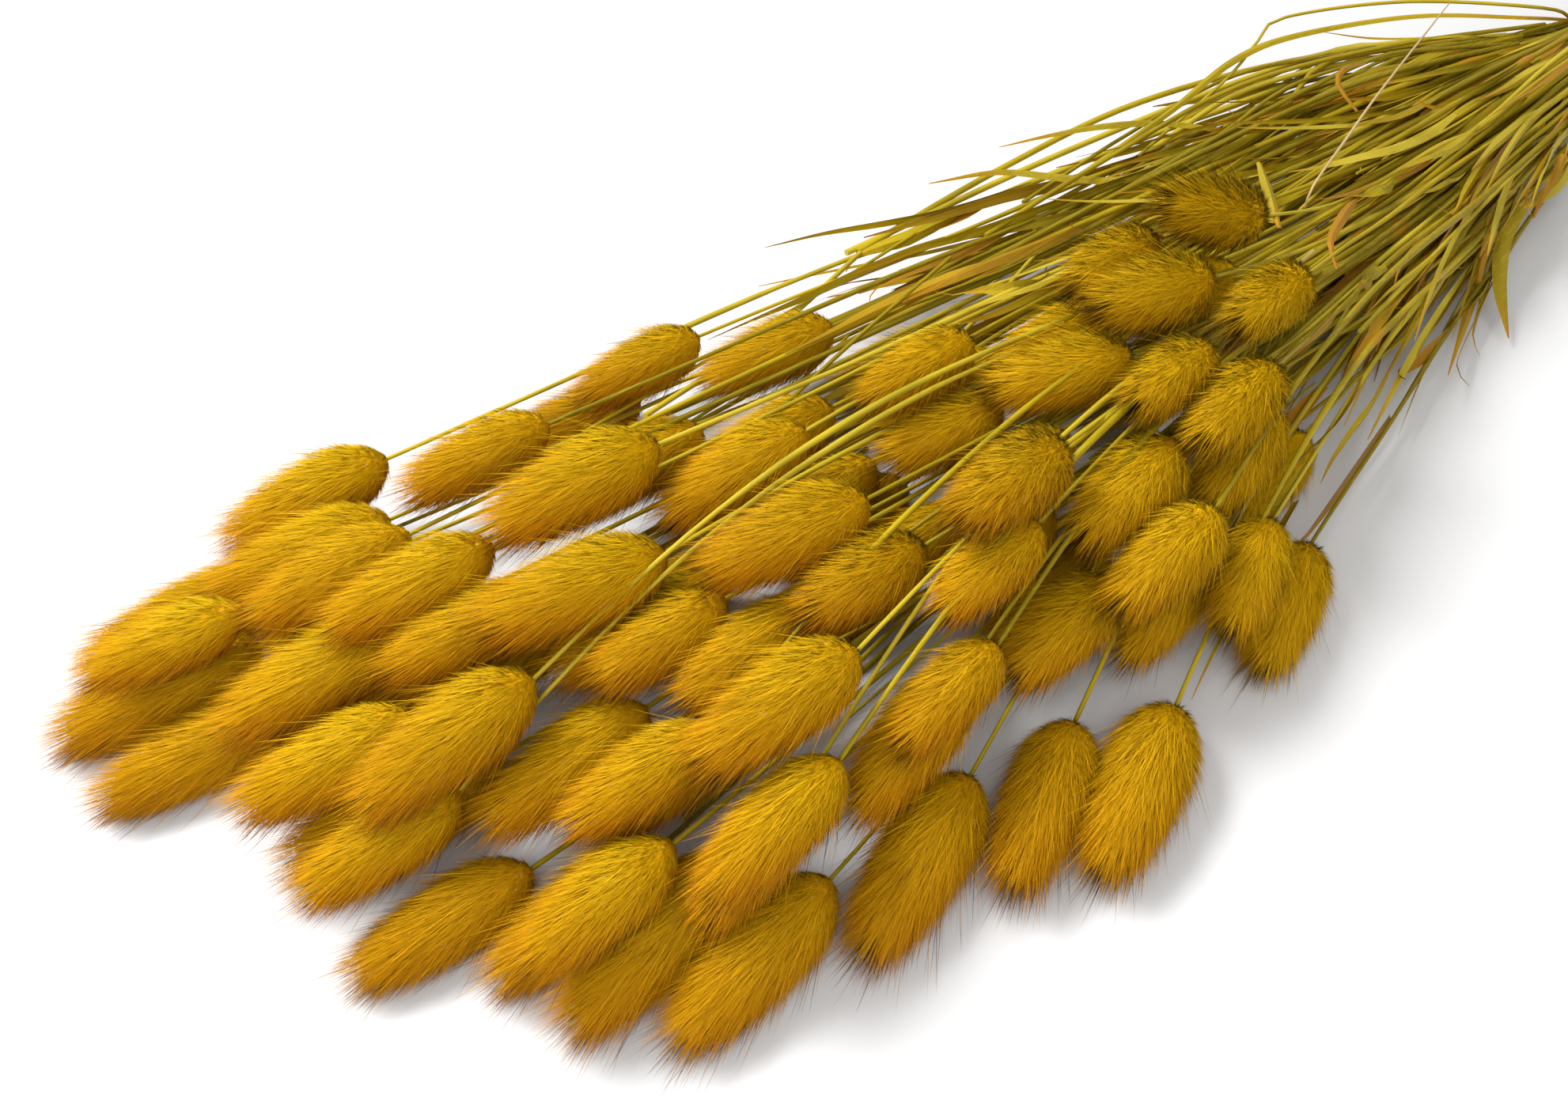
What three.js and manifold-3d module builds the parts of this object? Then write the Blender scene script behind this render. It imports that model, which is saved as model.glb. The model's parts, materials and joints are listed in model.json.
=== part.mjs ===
// Dried bunny tail grass: a bunch of cut stems, each with one furry seed head, gathered by a rubber band and
// lying on its side. Millimetres, +Z up. The heads point along +X, and the bunch rests on z = 0.

import * as THREE from "three";
import { mergeVertices } from "three/addons/utils/BufferGeometryUtils.js";
import Module from "manifold-3d";

// Where the heads lie, in three tiers: how far past the band a head starts, and how far to the side of the
// bunch's middle line. A tier lies higher near the band by its rise.
const tiers = [
  {
    height: 11,
    rise: 2,
    places: [
      [582, -96], [566, -110], [590, -60], [570, 24], [555, 4], [545, 36], [532, 46], [518, 58],
      [545, -44], [470, 60], [436, 64], [435, -102], [412, 74], [425, 8], [400, -16], [332, 64],
      [335, -58], [290, 48],
    ],
  },
  {
    height: 26,
    rise: 6,
    places: [
      [585, -80], [574, 4], [572, -30], [548, 52], [535, -92], [532, -68], [522, -115], [524, 10],
      [512, 60], [515, 32], [515, -46], [485, -4], [465, -22], [458, 54], [445, -62], [420, -84],
      [415, -12], [412, -40], [404, 58], [400, 36], [385, 50], [384, -68], [366, 62], [352, 66],
      [315, 50], [556, -56],
    ],
  },
  {
    height: 41,
    rise: 13,
    places: [
      [548, -6], [540, -66], [530, -40], [526, -22], [525, 36], [510, 58], [500, -12], [495, 12],
      [490, 48], [490, -70], [480, -36], [480, 28], [456, 54], [452, 12], [448, 32], [425, 46],
      [415, 18], [410, 38], [388, 26], [385, 4], [382, -16], [378, 54], [365, 46], [350, 18],
      [340, 36], [330, 50], [335, 9], [312, 7], [298, 36], [292, 20], [278, 9], [440, -20],
      [362, -2], [318, 26],
    ],
  },
];
const farthestReach = 600;

// Seed heads
const headLength = 45;
const headRadius = 9.8;
const sizeSpread = 0.12;
const headDroop = 4;
const headTurn = 5;
const tuftsAround = 6;
const tuftRings = 5;
const coreShare = 0.6;
const tuftLean = 5;
const tuftedShare = 0.82;
const tuftVary = 0.06;
const baseShare = 0.03;
const baseRadius = 0.5;
const furPeak = 0.75;
const lastTuftAlong = 0.97;
const lastTuftShare = 0.9;
const fusedPairs = 25;
const awnRadius = 0.7;
const awnRoot = 0.2;
const pressDepth = 1.0;

// Stems
const groupCount = 6;
const groupRows = 5;
const stemPitch = 3.5;
const groupApex = 4.2;
const stemRadiusAtBand = 1.8;
const stemRadiusAtHead = 1.0;
const stemSides = 3;
const stemTurns = [0.22, 0.95, 0.65, 0.1, 1.25, 0.95];
const stemSteps = 6;
const cutLength = 72;
const cutSpread = 9;
const cutFlare = 0.2;
const swaySize = 7;
const farSide = 100;
const farSideBow = 0.5;
const bunchSeed = 20;
const cutSeed = 7;

// Dry leaves
const leafCount = 22;
const leafLength = 88;
const leafLengthSpread = 24;
const leafWidth = 4.8;
const leafThickness = 1.0;
const leafSteps = 5;
const leafFirstRoot = 45;
const leafLastRoot = 280;
const leafLean = 0.16;
const leafCurl = 0.12;
const leafSwing = 0.1;
const leafTwist = 1.2;
const leafFootShare = 0.45;
const leafFootRise = 2.2;
const leafTipShare = 0.08;
const leafTipRise = 1.5;
const leafAimSpan = 20;
const leafTries = 900;
const leafSeed = 138;

// Rubber band, wound three times
const bandTurns = 3;
const bandTurnWidth = 3.4;
const bandThickness = 1.9;
const bandGap = 0.35;
const bandSides = 16;
const bandRimShare = 0.45;
const bandValleyShare = 0.6;
const bandLobeFrom = 0.3;
const bandLobeTo = 0.7;
const waistMargin = 2;

// Clearances
const pieceGap = 0.3;
const stemGap = 0.4;
const headGap = 0.7;
const roundedBase = 0.75;
const roundedTip = 0.7;
const floorGap = 0.1;
const floorDip = 1.5;
const floorSlab = 20;
const weldDistance = 1e-4;

// How the plants settle: the share of a full step that each pull takes in a round, and how long it lasts
const relaxRounds = 600;
const listRounds = 20;
const listMargin = 8;
const pushStep = 1.2;
const drawStep = 0.3;
const homeStep = 0.02;
const homeUntil = 0.55;
const stiffEarly = 0.25;
const stiffLate = 0.06;
const stiffUntil = 0.7;
const alongStep = 0.2;
const floorStep = 0.15;

const wasm = await Module();
wasm.setup();

const furMaterial = new THREE.MeshStandardMaterial({ color: 0xd8a52c, roughness: 0.95, metalness: 0 });
const stemMaterial = new THREE.MeshStandardMaterial({ color: 0xc8b544, roughness: 0.6, metalness: 0 });
const bandMaterial = new THREE.MeshStandardMaterial({ color: 0xb88f5e, roughness: 0.55, metalness: 0 });

const rowSpace = stemPitch * Math.cos(Math.PI / 6);
const bundleRadius = Math.hypot(groupApex + (groupRows - 1) * rowSpace, stemPitch) + stemRadiusAtBand;
const bandInside = bundleRadius + bandGap;
const bandOutside = bandInside + bandThickness;
const bandHeight = bandOutside * Math.cos(Math.PI / bandSides);
const bandHalf = (bandTurns * bandTurnWidth) / 2;
const waistHalf = bandHalf + waistMargin;

// Seeded numbers from 0 to 1, the same on every run.
function seededDraw(seed) {
  let state = seed;
  return () => {
    state = (state + 0x6d2b79f5) | 0;
    let mixed = Math.imul(state ^ (state >>> 15), 1 | state);
    mixed = (mixed + Math.imul(mixed ^ (mixed >>> 7), 61 | mixed)) ^ mixed;
    return ((mixed ^ (mixed >>> 14)) >>> 0) / 4294967296;
  };
}

function around(draw, spread) {
  return (draw() * 2 - 1) * spread;
}

// The stems' seats under the band: six wedges of a round bundle, each with rows of 1, 2, 3, 4 and 3 seats.
function bandSeats() {
  const seats = [];
  for (let group = 0; group < groupCount; group += 1) {
    const turn = ((group / groupCount) * 2 - 0.5) * Math.PI;
    for (let row = 0; row < groupRows; row += 1) {
      const trim = row === groupRows - 1 ? 1 : 0;
      for (let seat = trim; seat <= row - trim; seat += 1) {
        const out = groupApex + row * rowSpace;
        const across = (seat - row / 2) * stemPitch;
        const y = out * Math.cos(turn) - across * Math.sin(turn);
        const z = bandHeight + out * Math.sin(turn) + across * Math.cos(turn);
        seats.push({ group, row, y, z });
      }
    }
  }
  return seats;
}

// Two stems that would cross on their way out of the band change seats, until none would.
function takeSeats(aims, seats) {
  const seatOf = aims.map((aim, index) => index);
  let changed = true;
  while (changed) {
    changed = false;
    for (let i = 0; i < aims.length; i += 1) {
      for (let k = i + 1; k < aims.length; k += 1) {
        const a = seats[seatOf[i]];
        const b = seats[seatOf[k]];
        const crossing = (aims[i].y - aims[k].y) * (a.y - b.y) + (aims[i].z - aims[k].z) * (a.z - b.z);
        if (crossing < -1e-9) {
          [seatOf[i], seatOf[k]] = [seatOf[k], seatOf[i]];
          changed = true;
        }
      }
    }
  }
  return seatOf.map((seat) => seats[seat]);
}

// One stem with its head, as points from the band to the head's base and then the head's tip.
function plantPoints(place, seat, draw) {
  const size = 1 + around(draw, sizeSpread);
  const length = headLength * size;
  const sway = around(draw, swaySize);
  const lift = around(draw, swaySize / 3);
  const start = new THREE.Vector3(waistHalf, seat.y, seat.z);
  const base = new THREE.Vector3(place.reach, place.side, place.height);
  const bow = 1 - farSideBow * THREE.MathUtils.clamp(-place.side / farSide, 0, 1);
  const points = [];
  for (let step = 0; step <= stemSteps; step += 1) {
    const share = step / stemSteps;
    const point = new THREE.Vector3().lerpVectors(start, base, share);
    const spread = share ** bow;
    point.y = start.y + (base.y - start.y) * spread + sway * Math.sin(Math.PI * share);
    point.z = start.z + (base.z - start.z) * spread;
    point.z += lift * Math.sin(Math.PI * share);
    points.push(point);
  }
  const aim = new THREE.Vector3().subVectors(points[stemSteps], points[stemSteps - 1]).normalize();
  const tip = base.clone().addScaledVector(aim, length);
  tip.y += around(draw, headTurn);
  tip.z -= draw() * headDroop;
  points.push(tip);
  const radius = headRadius * size;
  return { points, seat, length, radius, lowest: place.lowest, phase: draw() * 2 * Math.PI, draw };
}

// Heads that lie closest, two and two, which their tangled awns hold together.
function pressedPairs(plants) {
  const found = [];
  for (let i = 0; i < plants.length; i += 1) {
    for (let k = i + 1; k < plants.length; k += 1) {
      const a = plants[i].points;
      const b = plants[k].points;
      const apart = a[stemSteps].distanceTo(b[stemSteps]) + a[stemSteps + 1].distanceTo(b[stemSteps + 1]);
      found.push({ i, k, apart });
    }
  }
  found.sort((one, other) => one.apart - other.apart);
  const partner = new Array(plants.length).fill(-1);
  let left = fusedPairs;
  for (const { i, k } of found) {
    if (left > 0 && partner[i] < 0 && partner[k] < 0) {
      partner[i] = k;
      partner[k] = i;
      left -= 1;
    }
  }
  return partner;
}

// A plant's straight lengths, six of stem and one of head: the share of each that counts, and its radius.
function limbsOf(plants) {
  const limbs = [];
  plants.forEach((plant, owner) => {
    for (let step = 0; step < stemSteps; step += 1) {
      limbs.push({ owner, step, from: 0, to: 1, radius: stemRadius(step / stemSteps), head: false });
    }
    const from = (roundedBase * plant.radius) / plant.length;
    const to = 1 - (roundedTip * plant.radius) / plant.length;
    limbs.push({ owner, step: stemSteps, from, to, radius: plant.radius, head: true });
  });
  return limbs;
}

function stemRadius(share) {
  return stemRadiusAtBand + (stemRadiusAtHead - stemRadiusAtBand) * share;
}

function alongLimb(plants, limb, share) {
  const points = plants[limb.owner].points;
  const here = limb.from + (limb.to - limb.from) * share;
  return new THREE.Vector3().lerpVectors(points[limb.step], points[limb.step + 1], here);
}

// Where two straight lengths come closest, as a share of each.
function closestShares(p1, q1, p2, q2) {
  const d1 = new THREE.Vector3().subVectors(q1, p1);
  const d2 = new THREE.Vector3().subVectors(q2, p2);
  const r = new THREE.Vector3().subVectors(p1, p2);
  const a = d1.dot(d1);
  const e = d2.dot(d2);
  const f = d2.dot(r);
  const c = d1.dot(r);
  const b = d1.dot(d2);
  const spread = a * e - b * b;
  let s = spread > 1e-9 * a * e ? THREE.MathUtils.clamp((b * f - c * e) / spread, 0, 1) : 0;
  let t = (b * s + f) / e;
  if (t < 0) {
    t = 0;
    s = THREE.MathUtils.clamp(-c / a, 0, 1);
  } else if (t > 1) {
    t = 1;
    s = THREE.MathUtils.clamp((b - c) / a, 0, 1);
  }
  return [s, t];
}

// How far apart the middles of two lengths have to stay.
function clearance(one, other, partner) {
  const radii = one.radius + other.radius;
  if (one.head && other.head && partner[one.owner] === other.owner) {
    return radii - pressDepth;
  }
  return radii + (one.head || other.head ? headGap : stemGap);
}

function nearPairs(plants, limbs, partner) {
  const middles = limbs.map((limb) => alongLimb(plants, limb, 0.5));
  const halves = limbs.map((limb) => alongLimb(plants, limb, 0).distanceTo(alongLimb(plants, limb, 1)) / 2);
  const near = [];
  for (let i = 0; i < limbs.length; i += 1) {
    for (let k = i + 1; k < limbs.length; k += 1) {
      if (limbs[i].owner === limbs[k].owner) {
        continue;
      }
      const pressed = limbs[i].head && limbs[k].head && partner[limbs[i].owner] === limbs[k].owner;
      const least = clearance(limbs[i], limbs[k], partner);
      if (pressed || middles[i].distanceTo(middles[k]) < halves[i] + halves[k] + least + listMargin) {
        near.push({ one: limbs[i], other: limbs[k], least, pressed });
      }
    }
  }
  return near;
}

// Stems and heads push each other aside until they only touch, and pressed heads draw together. A stem stays
// as straight or as swayed as it grew.
function settle(plants, partner) {
  const limbs = limbsOf(plants);
  const grown = plants.map((plant) => plant.points.map((point) => point.clone()));
  const bends = plants.map((plant) => bendsOf(plant.points));
  let near = [];
  for (let round = 0; round < relaxRounds; round += 1) {
    if (round % listRounds === 0) {
      near = nearPairs(plants, limbs, partner);
    }
    const late = round / relaxRounds;
    const moves = plants.map((plant) => plant.points.map(() => ({ shift: new THREE.Vector3(), count: 0 })));
    const push = (limb, share, way, size) => {
      const there = limb.from + (limb.to - limb.from) * share;
      const spread = (1 - there) ** 2 + there ** 2;
      const first = moves[limb.owner][limb.step];
      const second = moves[limb.owner][limb.step + 1];
      first.shift.addScaledVector(way, (size * (1 - there)) / spread);
      first.count += 1 - there;
      second.shift.addScaledVector(way, (size * there) / spread);
      second.count += there;
    };
    for (const { one, other, least, pressed } of near) {
      const p1 = alongLimb(plants, one, 0);
      const q1 = alongLimb(plants, one, 1);
      const p2 = alongLimb(plants, other, 0);
      const q2 = alongLimb(plants, other, 1);
      const [s, t] = closestShares(p1, q1, p2, q2);
      const way = p1.lerp(q1, s).sub(p2.lerp(q2, t));
      const apart = way.length();
      if (apart < least || pressed) {
        way.divideScalar(Math.max(apart, 1e-6));
        const size = ((least - apart) / 2) * (pressed && apart > least ? drawStep : 1);
        push(one, s, way, size);
        push(other, t, way, -size);
      }
    }
    plants.forEach((plant, owner) => {
      const { points } = plant;
      for (let step = 1; step <= stemSteps + 1; step += 1) {
        const move = moves[owner][step];
        if (move.count > 0) {
          points[step].addScaledVector(move.shift, pushStep / Math.max(1, move.count));
        }
        if (late < homeUntil) {
          points[step].lerp(grown[owner][step], homeStep);
        }
      }
      keepBends(points, bends[owner], late < stiffUntil ? stiffEarly : stiffLate);
      keepHead(plant, grown[owner]);
      keepAboveFloor(plant);
    });
  }
}

// How each point of a grown stem lies off the straight line between its neighbours.
function bendsOf(points) {
  const bends = [];
  for (let step = 1; step <= stemSteps; step += 1) {
    const before = points[step].distanceTo(points[step - 1]);
    const after = points[step + 1].distanceTo(points[step]);
    const share = before / (before + after);
    const off = new THREE.Vector3().lerpVectors(points[step - 1], points[step + 1], share).sub(points[step]);
    bends.push({ share, off });
  }
  return bends;
}

function keepBends(points, bends, stiffness) {
  for (let step = 1; step <= stemSteps; step += 1) {
    const { share, off } = bends[step - 1];
    const strain = new THREE.Vector3().lerpVectors(points[step - 1], points[step + 1], share);
    strain.sub(points[step]).sub(off).multiplyScalar(stiffness / 2);
    points[step].add(strain);
    points[step + 1].addScaledVector(strain, -share);
    if (step > 1) {
      points[step - 1].addScaledVector(strain, share - 1);
    }
  }
}

function keepHead(plant, grown) {
  const { points, length } = plant;
  for (let step = 1; step <= stemSteps; step += 1) {
    points[step].x += (grown[step].x - points[step].x) * alongStep;
  }
  const base = points[stemSteps];
  const tip = points[stemSteps + 1];
  const way = new THREE.Vector3().subVectors(tip, base).normalize();
  tip.copy(base).addScaledVector(way, length);
}

// Nothing sinks into the surface, and the heads of the lowest tier come down on it.
function keepAboveFloor(plant) {
  const { points, radius, lowest } = plant;
  for (let step = 1; step < stemSteps; step += 1) {
    points[step].z = Math.max(points[step].z, stemRadius(step / stemSteps) + floorGap);
  }
  for (let step = stemSteps; step <= stemSteps + 1; step += 1) {
    const above = points[step].z - (radius - floorDip);
    points[step].z -= above < 0 ? above : above * (lowest ? floorStep : 0);
  }
}

function growBunch() {
  const draw = seededDraw(bunchSeed);
  const places = [];
  for (const tier of tiers) {
    for (const [reach, side] of tier.places) {
      const height = tier.height + tier.rise * (1 - reach / farthestReach);
      places.push({ reach, side, height, lowest: tier === tiers[0] });
    }
  }
  const aims = places.map(({ reach, side, height }) => {
    return { y: side / reach, z: (height - bandHeight) / reach };
  });
  const seats = takeSeats(aims, bandSeats());
  const plants = places.map((place, index) => plantPoints(place, seats[index], draw));
  const partner = pressedPairs(plants);
  settle(plants, partner);
  return { plants, partner };
}

// A closed skin over rings of equal count, with flat ends.
function skin(rings) {
  const count = rings[0].length;
  const corners = rings.flat();
  const faces = [];
  for (let ring = 0; ring + 1 < rings.length; ring += 1) {
    for (let side = 0; side < count; side += 1) {
      const a = ring * count + side;
      const b = ring * count + ((side + 1) % count);
      faces.push([a, b, b + count], [a, b + count, a + count]);
    }
  }
  const last = (rings.length - 1) * count;
  for (let side = 1; side + 1 < count; side += 1) {
    faces.push([0, side + 1, side], [last, last + side, last + side + 1]);
  }
  return fromFaces(corners, faces);
}

function fromFaces(corners, faces) {
  const geometry = new THREE.BufferGeometry();
  const places = corners.flatMap((corner) => corner.toArray());
  geometry.setAttribute("position", new THREE.Float32BufferAttribute(places, 3));
  geometry.setIndex(faces.flat());
  return geometry;
}

function toSolid(geometry) {
  const bare = geometry.clone();
  bare.deleteAttribute("normal");
  bare.deleteAttribute("uv");
  const merged = mergeVertices(bare, weldDistance);
  return new wasm.Manifold(new wasm.Mesh({
    numProp: 3,
    vertProperties: Float32Array.from(merged.attributes.position.array),
    triVerts: Uint32Array.from(merged.index.array),
  }));
}

// Pieces grown into one, with any hollow that they seal between them filled.
function growTogether(solids) {
  const bodies = wasm.Manifold.union(solids).decompose();
  bodies.sort((one, other) => other.volume() - one.volume());
  return bodies[0];
}

function toGeometry(solid) {
  const mesh = solid.getMesh();
  const geometry = new THREE.BufferGeometry();
  geometry.setAttribute("position", new THREE.BufferAttribute(mesh.vertProperties, 3));
  geometry.setIndex(new THREE.BufferAttribute(mesh.triVerts, 1));
  geometry.computeVertexNormals();
  return geometry;
}

// Two directions across a line, right-handed with it.
function acrossOf(way) {
  const up = new THREE.Vector3(0, 0, 1);
  const u = new THREE.Vector3().crossVectors(up, way).normalize();
  const v = new THREE.Vector3().crossVectors(way, u).normalize();
  return [u, v];
}

function ringAt(centre, way, radius, count, phase) {
  const [u, v] = acrossOf(way);
  const ring = [];
  for (let side = 0; side < count; side += 1) {
    const angle = phase + (side / count) * 2 * Math.PI;
    const corner = centre.clone().addScaledVector(u, radius * Math.cos(angle));
    ring.push(corner.addScaledVector(v, radius * Math.sin(angle)));
  }
  return ring;
}

function stemSolid(plant) {
  const { points, seat, cut } = plant;
  const turn = stemTurns[seat.group];
  const ahead = new THREE.Vector3(1, 0, 0);
  const flare = 1 + cutFlare;
  const end = new THREE.Vector3(-cut, seat.y * flare, seat.z * flare);
  const waist = new THREE.Vector3(-waistHalf, seat.y, seat.z);
  const rings = [];
  rings.push(ringAt(end, ahead, stemRadiusAtBand, stemSides, turn));
  rings.push(ringAt(waist, ahead, stemRadiusAtBand, stemSides, turn));
  for (let step = 0; step <= stemSteps; step += 1) {
    const before = points[Math.max(0, step - 1)];
    const after = points[Math.min(stemSteps, step + 1)];
    const way = step === 0 ? ahead : new THREE.Vector3().subVectors(after, before).normalize();
    rings.push(ringAt(points[step], way, stemRadius(step / stemSteps), stemSides, turn));
  }
  return toSolid(skin(rings));
}

// The middle of all stems at a distance from the band.
function middleAt(plants, along) {
  const crossing = plants.map((plant) => stemAt(plant, along)).filter((point) => point);
  const middle = new THREE.Vector3();
  crossing.forEach((point) => middle.add(point));
  return middle.divideScalar(crossing.length);
}

// The point of a stem at a distance from the band, if it reaches that far.
function stemAt(plant, along) {
  for (let step = 0; step < stemSteps; step += 1) {
    const [near, far] = [plant.points[step], plant.points[step + 1]];
    if (along >= near.x && along < far.x) {
      return new THREE.Vector3().lerpVectors(near, far, (along - near.x) / (far.x - near.x));
    }
  }
  return null;
}

// Half a dry blade's width at a share of its length: a narrow foot, full by a third, and a long point.
function leafHalfWidth(share) {
  const foot = leafFootShare + leafFootRise * share;
  const point = leafTipShare + leafTipRise * (1 - share);
  return (leafWidth / 2) * Math.min(foot, 1, point);
}

// A blade that leaves its stem towards the outside of the bunch and curls on its way to the heads.
function leafLine(plants, plant, root, lean, draw) {
  const start = stemAt(plant, root);
  const ahead = stemAt(plant, root + leafAimSpan);
  if (!start || !ahead) {
    return null;
  }
  const way = new THREE.Vector3().subVectors(ahead, start).normalize();
  const out = new THREE.Vector3().subVectors(start, middleAt(plants, root));
  out.addScaledVector(way, -out.dot(way)).normalize();
  const across = new THREE.Vector3().crossVectors(way, out);
  const length = leafLength + around(draw, leafLengthSpread);
  const curl = around(draw, leafCurl);
  const swing = around(draw, leafSwing);
  const points = [];
  for (let step = 0; step <= leafSteps; step += 1) {
    const share = step / leafSteps;
    points.push(start.clone()
      .addScaledVector(way, length * share)
      .addScaledVector(out, length * (lean * share + curl * share * share))
      .addScaledVector(across, length * swing * share * share));
  }
  return { points, out, twist: around(draw, leafTwist), group: plant.seat.group, owner: plant };
}

function leafIsClear(leaf, plants, leaves) {
  for (let step = 0; step < leafSteps; step += 1) {
    const [from, to] = [leaf.points[step], leaf.points[step + 1]];
    const own = leafHalfWidth((step + 0.5) / leafSteps) + stemGap;
    if (Math.min(from.z, to.z) < own) {
      return false;
    }
    const meets = (start, end, radius) => {
      const [s, t] = closestShares(from, to, start, end);
      return from.clone().lerp(to, s).distanceTo(start.clone().lerp(end, t)) < own + radius;
    };
    for (const plant of plants) {
      for (let part = 0; part <= stemSteps; part += 1) {
        const radius = part < stemSteps ? stemRadius(part / stemSteps) : plant.radius;
        const skipped = plant === leaf.owner && part < stemSteps;
        if (!skipped && meets(plant.points[part], plant.points[part + 1], radius)) {
          return false;
        }
      }
    }
    for (const other of leaves) {
      for (let part = 0; part < leafSteps; part += 1) {
        if (meets(other.points[part], other.points[part + 1], leafWidth / 2)) {
          return false;
        }
      }
    }
  }
  return true;
}

// Dry leaves, where the outer stems leave them room.
function growLeaves(plants) {
  const draw = seededDraw(leafSeed);
  const leaves = [];
  for (let tries = 0; tries < leafTries && leaves.length < leafCount; tries += 1) {
    const plant = plants[Math.floor(draw() * plants.length)];
    const root = leafFirstRoot + draw() * (leafLastRoot - leafFirstRoot);
    const lean = leafLean * (0.6 + draw());
    const leaf = leafLine(plants, plant, root, lean, draw);
    if (leaf && leafIsClear(leaf, plants, leaves)) {
      leaves.push(leaf);
    }
  }
  return leaves;
}

// A blade is thickest along its rib, and its two faces are split alike.
function leafSolid(leaf) {
  const corners = [];
  for (let step = 0; step <= leafSteps; step += 1) {
    const share = step / leafSteps;
    const before = leaf.points[Math.max(0, step - 1)];
    const after = leaf.points[Math.min(leafSteps, step + 1)];
    const way = new THREE.Vector3().subVectors(after, before).normalize();
    const turn = leaf.twist * share;
    const flat = new THREE.Vector3().crossVectors(way, leaf.out).normalize();
    const side = flat.clone().multiplyScalar(Math.cos(turn));
    const face = new THREE.Vector3().crossVectors(flat, way);
    side.addScaledVector(face, Math.sin(turn));
    const rib = new THREE.Vector3().crossVectors(side, way);
    const half = leafHalfWidth(share);
    const thick = leafThickness / 2;
    corners.push(leaf.points[step].clone().addScaledVector(side, half));
    corners.push(leaf.points[step].clone().addScaledVector(rib, thick));
    corners.push(leaf.points[step].clone().addScaledVector(side, -half));
    corners.push(leaf.points[step].clone().addScaledVector(rib, -thick));
  }
  const faces = [[0, 2, 1], [0, 3, 2]];
  for (let step = 0; step < leafSteps; step += 1) {
    const [side, top, other, under] = [0, 1, 2, 3].map((corner) => step * 4 + corner);
    faces.push([side, top, top + 4], [side, top + 4, side + 4]);
    faces.push([top, other, top + 4], [other, other + 4, top + 4]);
    faces.push([other, under, under + 4], [other, under + 4, other + 4]);
    faces.push([under, side, under + 4], [side, side + 4, under + 4]);
  }
  const last = leafSteps * 4;
  faces.push([last, last + 1, last + 2], [last, last + 2, last + 3]);
  return toSolid(fromFaces(corners, faces));
}

// Where a group's stems are pressed together under the band.
function pressedSolid(group, seats) {
  const own = seats.filter((seat) => seat.group === group);
  const [inmost] = own;
  const fourth = own.filter((seat) => seat.row === groupRows - 2);
  const fifth = own.filter((seat) => seat.row === groupRows - 1);
  const outline = [inmost, fourth[0], fifth[0], fifth[fifth.length - 1], fourth[fourth.length - 1]];
  const shape = new THREE.Shape(outline.map((seat) => new THREE.Vector2(seat.y, seat.z)));
  const block = new THREE.ExtrudeGeometry(shape, { depth: 2 * bandHalf, bevelEnabled: false });
  block.applyMatrix4(new THREE.Matrix4().makeBasis(
    new THREE.Vector3(0, 1, 0),
    new THREE.Vector3(0, 0, 1),
    new THREE.Vector3(1, 0, 0),
  ));
  block.translate(-bandHalf, 0, 0);
  return toSolid(block);
}

// How far the fur stands out at a share of the head's length, from its blunt base to its brush of a tip.
function furReach(share, radius) {
  return radius * Math.sqrt(Math.sin(Math.PI * share ** furPeak));
}

// A seed head: a slim core whose surface is all tufts of fur, in rings, each tuft leaning to the tip.
function headSolid(plant) {
  const { points, length, radius, phase, draw } = plant;
  const base = points[stemSteps];
  const way = new THREE.Vector3().subVectors(points[stemSteps + 1], base).normalize();
  const [u, v] = acrossOf(way);
  const spot = (along, out, angle) => base.clone()
    .addScaledVector(way, along)
    .addScaledVector(u, out * Math.cos(angle))
    .addScaledVector(v, out * Math.sin(angle));
  const step = (2 * Math.PI) / tuftsAround;
  const firstRing = pieceGap;
  const ringSpace = (length * tuftedShare) / tuftRings;
  const corners = [];
  for (let ring = 0; ring <= tuftRings; ring += 1) {
    const along = firstRing + ring * ringSpace;
    const out = coreShare * furReach(Math.max(baseShare, along / length), radius) + baseRadius;
    for (let side = 0; side < tuftsAround; side += 1) {
      corners.push(spot(along, out, phase + (side + ring / 2) * step));
    }
  }
  const corner = (ring, side) => ring * tuftsAround + ((side + tuftsAround) % tuftsAround);
  const faces = [];
  for (let ring = 0; ring + 2 <= tuftRings; ring += 1) {
    for (let side = 0; side < tuftsAround; side += 1) {
      const along = Math.min(firstRing + (ring + 2) * ringSpace + tuftLean, length * lastTuftAlong);
      const vary = 1 - tuftVary + around(draw, tuftVary);
      const out = furReach(Math.min(along / length, lastTuftShare), radius) * vary;
      const point = corners.length;
      corners.push(spot(along, out, phase + (side + ring / 2) * step));
      const back = corner(ring, side);
      const right = corner(ring + 1, side);
      const front = corner(ring + 2, side - 1);
      const left = corner(ring + 1, side - 1);
      faces.push([back, right, point], [right, front, point], [front, left, point], [left, back, point]);
    }
  }
  const tip = corners.length;
  corners.push(spot(length, 0, 0));
  for (let side = 0; side < tuftsAround; side += 1) {
    faces.push([corner(0, side), corner(0, side + 1), corner(1, side)]);
    faces.push([corner(tuftRings - 1, side), corner(tuftRings, side), corner(tuftRings, side - 1)]);
    faces.push([corner(tuftRings, side), corner(tuftRings, side + 1), tip]);
    if (side > 0 && side + 1 < tuftsAround) {
      faces.push([corner(0, 0), corner(0, side + 1), corner(0, side)]);
    }
  }
  return toSolid(fromFaces(corners, faces));
}

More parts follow.
